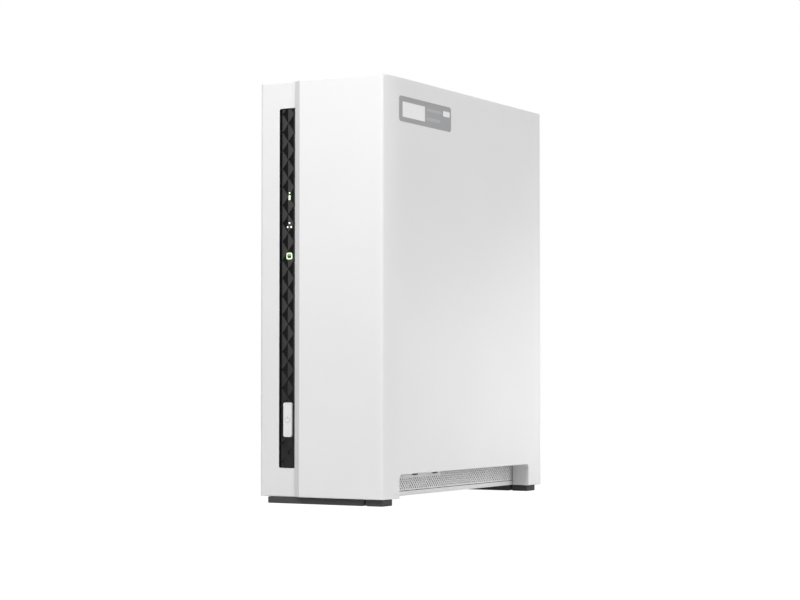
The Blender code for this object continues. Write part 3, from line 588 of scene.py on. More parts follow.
def case_half(name, side, front):
    """One half of the outside, hollowed and cut away below, with a rounded rear rim."""
    half = prism(name, case_outline(), (CASE_BOTTOM, HEIGHT), "Z", (BOTTOM_EDGE, TOP_EDGE), 6)
    span = sorted((SEAM_X + side * HAIRLINE, side * 2 * RIGHT))
    keep(half, block("half", span, (FRONT - 5, REAR + 5), (-5, HEIGHT + 5)))
    rim = mouth("rim", rounded((-INNER_X, INNER_X), (-10, INNER_TOP), 0.5), PANEL[1] + 0.1, REAR, "Y", 1, 0.4)
    return cut(half, *hollow(side, front), notch(side), rim)


def left_shell():
    shell = case_half("case_left", -1, LEFT_INNER_FRONT)
    opening = rounded((SLOT_LEFT, SEAM_X + 20), (SLOT_BOTTOM, SLOT_TOP), 0.8, 5)
    cut(shell, mouth("slot", opening, LEFT_INNER_FRONT + 5, FRONT + STEP, "Y", -1, 0.05))
    # A tongue closes the seam from inside, above and below the strip and along the top.
    root, tip, lap = SEAM_X - 2.6, SEAM_X + 2.9, 0.6
    face, back = LEFT_INNER_FRONT + GAP, LEFT_INNER_FRONT + 1.5
    step = [(root, face - GAP - lap), (SEAM_X - 0.3, face - GAP - lap), (SEAM_X - 0.3, face),
            (tip, face), (tip, back), (root, back)]
    upper, lower = INNER_TOP - GAP, INNER_TOP - 1.5
    roof = [(root, lower), (tip, lower), (tip, upper), (SEAM_X - 0.3, upper),
            (SEAM_X - 0.3, INNER_TOP + lap), (root, INNER_TOP + lap)]
    spans_up = ((6.0, SLOT_BOTTOM - 2.0), (SLOT_TOP + 2.0, upper))
    join(shell, *[prism("tongue", step, span) for span in spans_up])
    join(shell, prism("tongue", roof, (back - lap, PANEL[0] - GAP), "Y"))
    bosses, pilots = [], []
    for number in (1, 2, 3):
        place = middle(f"board_screw_{number}", "Y", "Z")
        bosses.append(rod("boss", "X", place, BOSS_RADIUS, (-INNER_X - 0.5, BOARD_X[0] - GAP), 28, (0, 0.3)))
        pilots.append(rod("pilot", "X", place, PILOT_RADIUS, (-INNER_X + 0.6, BOARD_X[0] + 1), 20))
    for level in ("lower", "upper"):
        place = middle(f"front_board_screw_{level}", "X", "Z")
        bosses.append(rod("boss", "Y", place, 2.2, (LEFT_INNER_FRONT - 0.5, FRONT_BOARD[0]), 24))
        pilots.append(rod("pilot", "Y", place, 1.2, (LEFT_INNER_FRONT + 0.8, FRONT_BOARD[0] + 1), 16))
    # Low ribs stiffen the large side wall between the bosses.
    ribs = [block("rib", (-INNER_X - 0.5, -INNER_X + 1.0), (-70, 70), (z, z + RIB)) for z in (60, 160)]
    ribs += [block("rib", (-INNER_X - 0.5, -INNER_X + 1.0), (y, y + RIB), (20, 180)) for y in (-30, 20)]
    join(shell, *ribs)
    join(shell, *bosses)
    cut(shell, *pilots)
    finish(shell, "shell_white", "left_shell")


LABEL_Y, LABEL_Z = (FRONT + 12.5, FRONT + 61.0), (169.2, 180.6)
LABEL_SINK, LABEL_THICK = 0.12, 0.09


def right_cover():
    cover = case_half("case_cover", 1, RIGHT_INNER_FRONT)
    edge = [(SEAM_X + 0.15, FRONT + STEP + 0.3), (SEAM_X + 4, FRONT + 0.6), (SEAM_X + 4, LEFT_INNER_FRONT),
            (SEAM_X + 0.15, LEFT_INNER_FRONT)]
    join(cover, prism("seam_rib", edge, (CASE_BOTTOM + 0.5, INNER_TOP + 0.5)))
    bosses, pilots = [], []
    front, back = PANEL[0] - 9, PANEL[0] - GAP
    for level in ("lower", "upper"):
        x, z = middle(f"cover_screw_{level}", "X", "Z")
        boss = rod("boss", "Y", (x, z), BOSS_RADIUS, (front, back), 28)
        bosses.append(join(boss, block("web", (x, INNER_X + 0.5), (front, back), around(z, 1.5))))
        pilots.append(rod("pilot", "Y", (x, z), PILOT_RADIUS, (front + 2, back + 1), 20))
    join(cover, *bosses)
    ribs = [block("rib", (INNER_X - 1.0, INNER_X + 0.5), (-72, 66), (z, z + RIB)) for z in (60, 110, 160)]
    join(cover, *ribs)
    pocket = prism("pocket", rounded(LABEL_Y, LABEL_Z, 1.5, 5), (RIGHT - LABEL_SINK, RIGHT + 1), "X")
    cut(cover, pocket, *pilots)
    finish(cover, "cover_white", "right_cover", body="cover")


def side_label():
    """A grey label with blank lighter fields where its printing would be."""
    bottom = RIGHT - LABEL_SINK - 0.01
    top = bottom + LABEL_THICK
    outline = rounded([v + e for v, e in zip(LABEL_Y, (0.05, -0.05))],
                      [v + e for v, e in zip(LABEL_Z, (0.05, -0.05))], 1.45, 5)
    finish(prism("side_label", outline, (bottom, top), "X"), "label_grey", body="cover")
    fields = (((15.6, 36.1), (171.4, 178.2), 0.3), ((37.6, 51.6), (176.4, 177.7), 0.2),
              ((37.6, 50.6), (172.2, 173.7), 0.2), ((53.2, 59.6), (175.8, 178.3), 0.6))
    for number, (y, z, radius) in enumerate(fields, 1):
        outline = rounded((FRONT + y[0], FRONT + y[1]), z, radius, 4)
        field = prism(f"label_field_{number}", outline, (top - 0.02, top + 0.01), "X")
        finish(field, "label_pale" if number in (1, 4) else "label_line", body="cover")


def perforated(name, x, y, z, first_row, rows, blank):
    """A plate with staggered round holes one millimetre off each other both ways.

    The holed field is a lattice of diamond cells, cut off straight at its edges. The number
    of rows is odd, and blank(y, z) says where a cell has no hole.
    """
    mesh = bmesh.new()
    columns = int((y[1] - y[0]) / 2) - 1
    start = sum(y) / 2 - columns
    radius, sides = 0.55, 8

    def face(points):
        mesh.faces.new([mesh.verts.new((x[0] * MM, a * MM, b * MM)) for a, b in points])

    for row in range(-1, rows + 1):
        for column in range(0, 2 * columns + 1):
            if (row + column) % 2 == 0:
                continue
            cy, cz = start + column, first_row + row
            rim = []
            for k in range(sides):
                reach = 1 if k % 2 == 0 else math.sqrt(0.5)
                rim.append((reach * math.cos(math.pi * k / 4), reach * math.sin(math.pi * k / 4)))
            at_side, at_end = column in (0, 2 * columns), row in (-1, rows)
            if at_side or at_end:
                away_y = (column == 0) - (column == 2 * columns)
                away_z = (row == -1) - (row == rows)
                kept = [p for p in rim if p[0] * away_y > -0.01 and p[1] * away_z > -0.01]
                if at_side and at_end:
                    kept.append((0, 0))
                kept.sort(key=lambda p: math.atan2(p[1] - away_z * 0.3, p[0] - away_y * 0.3))
                face([(cy + a, cz + b) for a, b in kept])
            elif blank(cy, cz):
                face([(cy + a, cz + b) for a, b in rim])
            else:
                ring = circle((cy, cz), radius, sides)
                for k in range(sides):
                    j = (k + 1) % sides
                    outer = [(cy + rim[i][0], cz + rim[i][1]) for i in (k, j)]
                    face([*outer, ring[j], ring[k]])
    low, high = start, start + 2 * columns
    bottom, top = first_row - 1, first_row + rows
    across = [low] + [low + 1 + 2 * i for i in range(columns)] + [high]
    upward = [bottom] + [first_row + 2 * i for i in range(rows // 2 + 1)] + [top]
    face([(a, top) for a in across] + [(y[1], z[1]), (y[0], z[1])])
    face([(a, bottom) for a in across] + [(y[1], z[0]), (y[0], z[0])])
    face([(low, b) for b in upward] + [(y[0], z[1]), (y[0], z[0])])
    face([(high, b) for b in upward] + [(y[1], z[1]), (y[1], z[0])])
    bmesh.ops.remove_doubles(mesh, verts=mesh.verts, dist=1e-6)
    grown = bmesh.ops.extrude_face_region(mesh, geom=list(mesh.faces), use_keep_orig=True)
    moved = [item for item in grown["geom"] if isinstance(item, bmesh.types.BMVert)]
    bmesh.ops.translate(mesh, verts=moved, vec=((x[1] - x[0]) * MM, 0, 0))
    bmesh.ops.recalc_face_normals(mesh, faces=mesh.faces)
    return made(name, mesh)


HOOK_FRONTS, HOOK_LENGTH, HOOK_Z = (FRONT + 42.0, FRONT + 60.7), 5.4, (11.8, 12.7)


def grilles():
    for name in ("vent_grille_left", "vent_grille_right"):
        x, y, z = spans(name)
        plate = perforated(f"{name}_fine", x, y, z, 6.35, 9, lambda y, z: z > 10.8 and y < FRONT + 69)
        hooks = []
        for start in HOOK_FRONTS:
            outline = rounded((start, start + HOOK_LENGTH), HOOK_Z, 0.4, 3)
            hooks.append(prism("hook", outline, widened(x, 2), "X"))
        finish(cut(plate, *hooks), "grille_white", name)


def feet():
    """Rubber strips and pads with soft edges, split by a notch at the cover's seam."""
    for end in ("front", "rear"):
        for part, body in (("left", "chassis"), ("right", "cover")):
            node = f"foot_{end}_{part}"
            (x0, x1), y, (z0, z1) = spans(node)
            outline = rounded((x0, x1), (z0, z1), 0.25, 3)
            if part == "left":
                outline = [p for p in outline if p[0] < x1 - 1 or p[1] > 1.3]
                outline = [(x1 - 1.3, z0), (x1, z0 + 1.2)] + outline
            else:
                outline = [p for p in outline if p[0] > x0 + 1 or p[1] > 1.3]
                outline += [(x0, z0 + 0.6), (x0 + 0.6, z0)]
            foot = prism(f"{node}_soft", outline, y, "Y", (0.3, 0.3))
            finish(foot, "foot_rubber", node, body=body)


# --- Front strip -------------------------------------------------------------

RIDGE_Y = FRONT + STEP + 0.5
VALLEY = 0.45
FACET_X, FACET_Z = SEAM_X - 4.25, 133.2
FACET_HALF = (3.05, 4.1)
MARK_X = middle("status_light", "X")[0]
BUTTON = spans("power_button")
BUTTON_CENTRE = middle("power_button", "X", "Z")
BUTTON_SIZE = (4.5, 15.4)
BUTTON_FACE = [around(c, size / 2) for c, size in zip(BUTTON_CENTRE, BUTTON_SIZE)]


def facet(mesh, x, z, x_span, z_span):
    """One rhombus folded along its upright diagonal, clipped to the strip, closed behind."""
    wide, tall = FACET_HALF
    top, low_y = RIDGE_Y, RIDGE_Y + VALLEY
    back = low_y + 0.25
    tile = bmesh.new()
    corners = ((x - wide, low_y, z), (x, top, z - tall), (x + wide, low_y, z), (x, top, z + tall))
    front = [tile.verts.new([c * MM for c in p]) for p in corners]
    rear = [tile.verts.new((p[0] * MM, back * MM, p[2] * MM)) for p in corners]
    left, low, right, high = range(4)
    tile.faces.new((front[left], front[low], front[high]))
    tile.faces.new((front[right], front[high], front[low]))
    for i in range(4):
        j = (i + 1) % 4
        tile.faces.new((front[i], rear[i], rear[j], front[j]))
    tile.faces.new(rear[::-1])
    for axis, span in ((0, x_span), (2, z_span)):
        for limit, sign in ((span[0], -1), (span[1], 1)):
            point, normal = [0, 0, 0], [0, 0, 0]
            point[axis], normal[axis] = limit * MM, sign
            bmesh.ops.bisect_plane(tile, geom=tile.verts[:] + tile.edges[:] + tile.faces[:], dist=1e-7,
                                   plane_co=point, plane_no=normal, clear_outer=True)
            bmesh.ops.holes_fill(tile, edges=[e for e in tile.edges if e.is_boundary])
    bmesh.ops.recalc_face_normals(tile, faces=tile.faces)
    data = bpy.data.meshes.new("tile")
    tile.to_mesh(data)
    tile.free()
    mesh.from_mesh(data)
    bpy.data.meshes.remove(data)


def indicator_strip():
    x_span = (SLOT_LEFT + HAIRLINE, SEAM_X - HAIRLINE)
    z_span = (SLOT_BOTTOM + 0.1, SLOT_TOP - 0.1)
    outline = rounded(x_span, z_span, 0.7, 5)
    back = STRIP[1][1]
    base = prism("strip_base", outline, (RIDGE_Y + VALLEY + 0.2, back), "Y")
    flange = prism("flange", rounded(STRIP[0], STRIP[2], 1), (back - 1.2, back), "Y")
    lining = prism("lining", outline, (FRONT + STEP + 0.04, back - 0.5), "Y", (0.05, 0))
    inside = rounded((x_span[0] + 0.15, x_span[1] + 5), widened(z_span, -0.15), 0.6, 5)
    join(base, flange, cut(lining, prism("inside", inside, (FRONT, RIDGE_Y + VALLEY + 0.3), "Y")))
    gap_x, gap_z = [widened(span, 0.3) for span in BUTTON_FACE]
    window = rounded(gap_x, gap_z, 1.1, 5)
    cut(base, prism("button_window", window, (FRONT, back + 5), "Y"))
    finish(base, "strip_black", "indicator_strip")
    x0, x1 = x_span[0] + 0.1, x_span[1] - 0.05
    z0, z1 = z_span[0] + 0.1, z_span[1] - 0.1
    regions = (((x0, gap_x[0]), (z0, z1)), ((gap_x[1], x1), (z0, z1)),
               (gap_x, (z0, gap_z[0])), (gap_x, (gap_z[1], z1)))
    mesh = bmesh.new()
    wide, tall = FACET_HALF
    for row in range(-30, 31):
        for column in (-1, 0, 1):
            x, z = FACET_X + wide * column, FACET_Z + tall * row
            if (row + column) % 2:
                continue
            for xs, zs in regions:
                if x - wide < xs[1] and x + wide > xs[0] and z - tall < zs[1] and z + tall > zs[0]:
                    facet(mesh, x, z, xs, zs)
    finish(made("strip_facets", mesh), "strip_lit", angle=1)
    rim = rounded(widened(gap_x, 0.35), widened(gap_z, 0.35), 1.4, 5)
    bezel = prism("button_bezel", rim, (RIDGE_Y - 0.03, back - 0.3), "Y", (0.08, 0))
    cut(bezel, prism("button_window", window, (FRONT, back + 5), "Y"))
    finish(bezel, "strip_black")


def lit_marks():
    """Light guides behind the strip: a bar and dot, three dots, and a disc drive's outline."""
    face = RIDGE_Y - 0.06

    def post(x, z, width, height, radius, back):
        outline = rounded(around(x, width / 2), around(z, height / 2), radius, 4)
        return prism("post", outline, (face, back), "Y", (0.05, 0))

    def drive(back):
        eye = rounded(around(MARK_X, 1.05), (109.4, 111.4), 0.5, 4)
        ring = post(MARK_X, 110.4, 3.0, 3.0, 0.85, back)
        cut(ring, prism("eye", eye, (FRONT, FRONT + 9), "Y"))
        return [ring, post(MARK_X, 110.9, 1.3, 0.22, 0.08, back)]

    marks = {
        "status_light": (lambda back: [post(MARK_X, 136.6, 0.75, 2.1, 0.12, back),
                                       post(MARK_X, 138.7, 0.7, 0.7, 0.33, back)], "lamp_green"),
        "network_light": (lambda back: [post(MARK_X + dx, z, 0.8, 0.8, 0.38, back)
                                        for dx, z in ((0, 125.2), (-0.9, 123.4), (0.9, 123.4))], "lamp_warm"),
        "disk_light": (drive, "lamp_pale"),
    }
    for name, (posts, lamp) in marks.items():
        x, y, z = spans(name)
        plate_y = (STRIP[1][1] + GAP, STRIP[1][1] + GAP + 1)
        finish(gathered(f"{name}_mark", posts(RIDGE_Y + 0.5)), lamp, name)
        guide = block(f"{name}_guide", x, plate_y, z, 0.2)
        join(guide, rod("rod", "Y", middle(name, "X", "Z"), 1.2, (plate_y[1] - 0.5, y[1]), 20))
        finish(guide, "guide_clear")


def power_button():
    """A cap with a soft rim around a faintly dished face, and a flush power symbol."""
    (x0, x1), (z0, z1) = BUTTON_FACE
    face, flange = BUTTON[1][0], BUTTON[1][1] - 1.2
    cap = rounded((x0, x1), (z0, z1), 0.95, 8)
    levels = ((0.75, 0.1), (0.5, 0.06), (0.35, 0.0), (0.22, 0.01), (0.1, 0.06), (0.03, 0.16), (0, 0.3))
    rings = [[(x, face + y, z) for x, z in shrunk(cap, inset)] for inset, y in levels]
    rings.append([(x, flange + 0.4, z) for x, z in cap])
    button = loft("power_button_cap", rings)
    join(button, block("flange", BUTTON[0], (flange, BUTTON[1][1]), BUTTON[2], 0.3))
    finish(button, "button_white", "power_button", body="power_key", angle=50)
    x, z, y = (x0 + x1) / 2, (z0 + z1) / 2, face + 0.1
    ring = arc((x, z), 1.4, 118, 422, 24) + arc((x, z), 1.12, 422, 118, 24)
    bar = rounded(around(x, 0.14), (z + 0.3, z + 1.7), 0.1, 3)
    parts = [prism("symbol", outline, (y - 0.015, y + 0.1), "Y") for outline in (ring, bar)]
    finish(gathered("power_symbol", parts), "symbol_grey", body="power_key")


# --- Fastenings --------------------------------------------------------------

# The screws by the body that they ride on here. The CAD keeps the cover's two on the chassis.
SCREWS = {
    "cover": ("cover_screw_lower", "cover_screw_upper"),
    "chassis": ("fan_screw_left_low", "fan_screw_left_high", "fan_screw_right_low", "fan_screw_right_high",
                "board_screw_1", "board_screw_2", "board_screw_3",
                "front_board_screw_lower", "front_board_screw_upper"),
    "drive_tray": ("drive_screw_front_lower", "drive_screw_front_upper",
                   "drive_screw_rear_lower", "drive_screw_rear_upper"),
}
# A pan head's outline, as shares of its radius and of its height from the top
PAN_HEAD = ((0.15, 0), (0.5, 0.03), (0.78, 0.13), (0.93, 0.32), (1.0, 0.6), (1.0, 0.93), (0.96, 1.0))


def lathe(name, axis, centre, profile, sides=32):
    """A turned solid from (radius, place along the axis) pairs."""
    return loft(name, [[placed(axis, a, b, at) for a, b in circle(centre, radius, sides)]
                       for radius, at in profile])


def screws():
    """Pan heads with a cross recess, facing the way that the CAD heads face."""
    facing = {"board": ("X", 1), "front_board": ("Y", 1), "drive_screw_front": ("Y", -1)}
    for body, names in SCREWS.items():
        for node in names:
            axis, sign = "Y", 1
            for start, way in facing.items():
                if node.startswith(start):
                    axis, sign = way
            box = spans(node)
            along = box["XYZ".index(axis)]
            others = [box[i] for i in range(3) if "XYZ"[i] != axis]
            centre = [sum(span) / 2 for span in others]
            radius = (others[0][1] - others[0][0]) / 2
            top, tip = (along[1], along[0]) if sign > 0 else (along[0], along[1])
            head, shank = radius * 0.54, radius * 0.45
            seat = top - sign * head
            profile = [(radius * f, top - sign * head * h) for f, h in PAN_HEAD]
            turns = max(4, int(abs(seat - tip) / 0.7))
            profile.append((shank, seat))
            for i in range(turns):
                at = seat - sign * abs(seat - tip) * (i + 0.5) / turns
                profile += [(shank, at), (shank * 0.82, at - sign * 0.2)]
            profile.append((shank * 0.6, tip))
            screw = lathe(f"{node}_fine", axis, centre, profile, 24)
            wide, thin, deep = radius * 0.55, radius * 0.11, head * 0.6
            arms = []
            for a, b in ((wide, thin), (thin, wide)):
                span = sorted((top + sign * 0.5, top - sign * deep))
                outline = rectangle(around(centre[0], a), around(centre[1], b))
                arms.append(prism("arm", outline, span, axis))
            cut(screw, *arms)
            finish(screw, "screw_steel", node, body=body, angle=25)


# --- Rear panel and fan ------------------------------------------------------

FAN_X, FAN_Z = middle("fan_frame", "X", "Z")
FAN = spans("fan_frame")[1]
FAN_HALF, FAN_HOLE_STEP = 20.0, 16.0
# The rear grille's hexagonal holes, and the lock slot's spans on X and Z
GRILLE_PITCH, GRILLE_HOLE = 5.7, 2.45
LOCK_SLOT = ((13, 20), (26, 29))
PORTS = ("network_jack", "usb_port_upper", "usb_port_lower", "power_inlet")


def rear_panel():
    x, _, z = spans("rear_panel")
    panel = prism("rear_panel_fine", rounded(x, z, 1.0, 6), PANEL, "Y", (0, 0.3))
    inner, outer = PANEL[0] - 5, PANEL[1]

    def window(outline, radius=0.25):
        return mouth("window", outline, inner, outer, "Y", 1, radius, 1.0, 2)

    holes, pitch, radius = [], GRILLE_PITCH, GRILLE_HOLE
    for q in range(-3, 4):
        for r in range(-3, 4):
            if abs(q + r) <= 3:
                centre = (FAN_X + pitch * (q + r / 2), FAN_Z + pitch * r * math.sqrt(3) / 2)
                holes.append(window(arc(centre, radius, 30, 330, 5)))
    for group in ("cover", "chassis"):
        for node in SCREWS[group]:
            if not node.startswith(("cover", "fan")):
                continue
            place = middle(node, "X", "Z")
            holes.append(rod("hole", "Y", place, 1.6, (inner, outer + 5), 24))
            holes.append(mouth("sink", circle(place, 3.35, 36), outer - 1.2, outer, "Y", 1, 0.2, 1.0, 2))
    for node in PORTS:
        x, _, z = spans(node)
        holes.append(window(rounded(widened(x, GAP), widened(z, GAP), 0.6, 4)))
    holes.append(window(circle(middle("reset_button", "X", "Z"), 0.9, 20), 0.2))
    holes.append(window(rounded(*LOCK_SLOT, 0.8, 5)))
    cut(panel, *holes)
    finish(panel, "case_white", "rear_panel")


def fan():
    half = FAN_HALF
    square = rounded(around(FAN_X, half), around(FAN_Z, half), 3, 6)
    housing = prism("fan_frame_fine", square, FAN, "Y", (0.4, 0.4))
    corners = [(FAN_X + dx * FAN_HOLE_STEP, FAN_Z + dz * FAN_HOLE_STEP) for dx in (-1, 1) for dz in (-1, 1)]
    holes = [rod("hole", "Y", place, 1.9, widened(FAN, 5), 24) for place in corners]
    # The middle of each side is set in, which leaves the corner flanges standing.
    for a in (-1, 1):
        flat = sorted((a * (half - 0.45), a * (half + 5)))
        depth, across = widened(FAN, -3.6), (-half + 7, half - 7)
        holes.append(block("side", [FAN_X + v for v in flat], depth, [FAN_Z + v for v in across]))
        holes.append(block("side", [FAN_X + v for v in across], depth, [FAN_Z + v for v in flat]))
    bore = lathe("bore", "Y", (FAN_X, FAN_Z), [(half - 0.4, FAN[0] - 1), (half - 0.4, FAN[0] + 0.1),
                 (half - 1, FAN[0] + 1.5), (half - 1, FAN[1] - 1.2), (half - 0.5, FAN[1] + 1)], 72)
    cut(housing, bore, *holes)
    support = (FAN[1] - 2.6, FAN[1] - 0.2)
    hub = rod("hub", "Y", (FAN_X, FAN_Z), 10, support, 48, (0.3, 0.3))
    struts = []
    for angle in (20, 110, 200, 290):
        turn = math.radians(angle)
        way, side = (math.cos(turn), math.sin(turn)), (-math.sin(turn), math.cos(turn))
        outline = [(FAN_X + way[0] * a + side[0] * b, FAN_Z + way[1] * a + side[1] * b)
                   for a, b in ((8, -0.9), (half - 0.2, -0.9), (half - 0.2, 0.9), (8, 0.9))]
        struts.append(prism("strut", outline, widened(support, -0.2), "Y"))
    join(hub, *struts)
    finish(join(housing, hub), "fan_black", "fan_frame")
    sticker = rod("fan_sticker", "Y", (FAN_X, FAN_Z), 8.6, (support[1] - 0.05, support[1] + 0.06), 48)
    finish(sticker, "foil")
    rotor(support[0] - 0.6)


def rotor(back):
    """A hub cup with a rounded rim and seven curved blades of tapering section."""
    front = FAN[0] + 1.2
    cup = ((1.5, 0), (7.6, 0), (8.5, 0.25), (9.2, 0.8), (9.5, 1.6))
    profile = [(radius, front + at) for radius, at in cup] + [(9.5, back)]
    wheel = lathe("fan_rotor_fine", "Y", (FAN_X, FAN_Z), profile, 56)
    section = ((-0.5, 0.0), (-0.42, -0.4), (-0.15, -0.5), (0.2, -0.36), (0.5, -0.05),
               (0.5, 0.05), (0.2, 0.4), (-0.15, 0.5), (-0.42, 0.34))
    # Along the blade: radius, pitch in degrees and sweep in radians
    stations = ((8.9, 48, 0), (11, 44, 0.04), (13.2, 40, 0.10), (15.6, 35, 0.18), (18.2, 30, 0.28))
    middle_y = (FAN[0] + back) / 2
    blades = []
    for i in range(7):
        base, rings = 2 * math.pi * i / 7, []
        for radius, pitch, sweep in stations:
            chord, thick, lean = 11.2, 1.0, math.radians(pitch)
            ring = []
            for u, v in section:
                camber = 0.9 * (0.25 - u * u)
                swept = u * chord * math.cos(lean) - (v * thick + camber) * math.sin(lean)
                along = u * chord * math.sin(lean) + (v * thick + camber) * math.cos(lean)
                turn = base + sweep + swept / radius
                out_x, out_z = radius * math.cos(turn), radius * math.sin(turn)
                ring.append((FAN_X + out_x, middle_y + along, FAN_Z + out_z))
            rings.append(ring)
        blades.append(loft("blade", rings))
    join(wheel, *blades)
    finish(wheel, "fan_blade", "fan_rotor", body="fan_wheel")
    cap = rod("fan_hub_sticker", "Y", (FAN_X, FAN_Z), 5.4, (front - 0.06, front + 0.05), 40)
    finish(cap, "foil", body="fan_wheel")


def wire(name, points, radius, offset=(0, 0, 0), sides=10, steps=28):
    """A round wire along a cubic curve through four control points."""

    def on_curve(t):
        weights = ((1 - t) ** 3, 3 * t * (1 - t) ** 2, 3 * t * t * (1 - t), t ** 3)
        return Vector([sum(w * p[i] for w, p in zip(weights, points)) + offset[i] for i in range(3)])

    rings, across = [], Vector((1, 0, 0))
    for step in range(steps + 1):
        t = step / steps
        way = (on_curve(min(1, t + 0.01)) - on_curve(max(0, t - 0.01))).normalized()
        across = (across - way * across.dot(way)).normalized()
        up = way.cross(across)
        here = on_curve(t)
        rings.append([here + across * a + up * b for a, b in circle((0, 0), radius, sides)])
    return loft(name, rings)


def leads():
    """The fan's three wires side by side, and the ribbed flat lead of the front board."""
    x, y, z = spans("fan_lead")
    header = spans("fan_header")
    ends = ((x[1] - 1, FAN[0] - GAP, z[1] - 1), (x[1] - 1, 44.0, z[1] - 1), (x[0] + 1, 44.0, z[1] - 1),
            (x[0] + 1, 44.0, header[2][1] + 0.3))
    wires = ((-1.05, "wire_red"), (0, "wire_black"), (1.05, "wire_yellow"))
    for number, (shift, colour) in enumerate(wires, 1):
        path = [ends[0][:2] + (ends[0][2] + shift,), ends[1][:2] + (ends[1][2] + shift,),
                (ends[2][0], ends[2][1] + shift, ends[2][2]), (ends[3][0], ends[3][1] + shift, ends[3][2])]
        replaced = "fan_lead" if number == 2 else None
        finish(wire(f"fan_wire_{number}", path, 0.5), colour, replaced, angle=60)
    x, y, z = spans("front_lead")
    start, end, low, high = (-19.6, y[0] + 3.0), (-20.6, y[1] - 6.0), z[0], z[1]
    path, steps, ribs = [], 20, 7
    for i in range(steps + 1):
        t = i / steps
        ease = t * t * (3 - 2 * t)
        path.append((start[0] + (end[0] - start[0]) * ease, start[1] + (end[1] - start[1]) * t))
    pitch = (high - low - 2) / ribs
    cores = []
    for k in range(ribs):
        centre = low + 1 + pitch * (k + 0.5)
        rings = [[(px + a, py, centre + b) for a, b in circle((0, 0), pitch * 0.52, 10)] for px, py in path]
        cores.append(loft("core", rings))
    finish(gathered("front_lead_cores", cores), "wire_black", "front_lead", angle=60)
    plugs = [block("plug", around(start[0], 1.6), (y[0], start[1] + 0.6), z, 0.25),
             block("plug", (BOARD_X[1] + GAP, end[0] + 1.6), (end[1] - 0.6, y[1]), z, 0.25)]
    finish(gathered("front_lead_plugs", plugs), "connector_white")


# --- Mainboard ---------------------------------------------------------------

BOARD_FACE = BOARD_X[1]


def legs(node, count, upright):
    """Rows of small bright legs on two opposite sides of a chip, as solids."""
    _, y, z = spans(node)
    along, across = (z, y) if upright else (y, z)
    solids = []
    for i in range(count):
        at = along[0] + (along[1] - along[0]) * (i + 0.5) / count
        for edge, out in ((across[0], -1), (across[1], 1)):
            reach, span = sorted((edge - out * 0.1, edge + out * 0.9)), around(at, 0.16)
            sides = (reach, span) if upright else (span, reach)
            solids.append(block("leg", (BOARD_FACE - 0.02, BOARD_FACE + 0.22), *sides))
    return solids


def small_parts():
    """Rows of chip resistors and capacitors on the free areas of the board."""
    # Each group's span along Y, its parts across, its rows and its lowest row's height
    groups = ((22, 27, 4, 9, 86), (-6, 26, 12, 2, 116), (-6, 26, 12, 2, 78), (-24, -10, 6, 2, 86),
              (-24, -10, 6, 2, 111), (50, 70, 7, 3, 110), (42, 58, 6, 2, 60), (-52, -26, 8, 3, 70),
              (-48, -26, 8, 2, 136), (8, 40, 12, 1, 140), (20, 40, 7, 3, 46), (-50, -20, 9, 1, 36))
    bodies, ends = [], []
    for low, high, across, rows, first in groups:
        for i in range(across):
            for j in range(rows):
                y, z = low + (high - low) * (i + 0.5) / across, first + 2.2 * j
                rise = (BOARD_FACE, BOARD_FACE + 0.42)
                bodies.append(block("body", rise, around(y, 0.3), around(z, 0.4)))
                for side in (-1, 1):
                    tip = sorted((z + side * 0.4, z + side * 0.75))
                    ends.append(block("end", (BOARD_FACE, BOARD_FACE + 0.45), around(y, 0.32), tip))
    finish(gathered("small_parts", bodies), "part_brown")
    finish(gathered("small_part_ends", ends), "tin")


def capacitors():
    """Rolled cans with a bead near the foot, on square bases, and moulded coils."""
    face, cans, bases = BOARD_FACE, [], []
    places = ((60, 122, 3.1, 6.5), (52, 122, 3.1, 6.5), (60, 130, 2.5, 5.5), (-50, 84, 2.5, 5.5),
              (-50, 92, 2.5, 5.5), (36, 30, 3.1, 6.5), (44, 30, 3.1, 6.5))
    for y, z, radius, height in places:
        top = face + 0.3 + height
        profile = [(radius, face + 1.0), (radius, face + 1.5), (radius * 0.94, face + 1.8),
                   (radius, face + 2.1), (radius, top - 0.3), (radius * 0.93, top),
                   (radius * 0.8, top - 0.1), (0.2, top - 0.1)]
        cans.append(lathe("can", "X", (y, z), profile, 28))
        reach = radius + 0.2
        bases.append(block("base", (face, face + 1.1), around(y, reach), around(z, reach), 0.3))
    for y, z in ((68, 122), (68, 131), (-50, 104), (28, 30)):
        bases.append(block("coil", (face, face + 3.2), around(y, 3), around(z, 3), 0.6))
    finish(gathered("capacitor_cans", cans), "bright_aluminium")
    finish(gathered("capacitor_bases", bases), "chip_black")


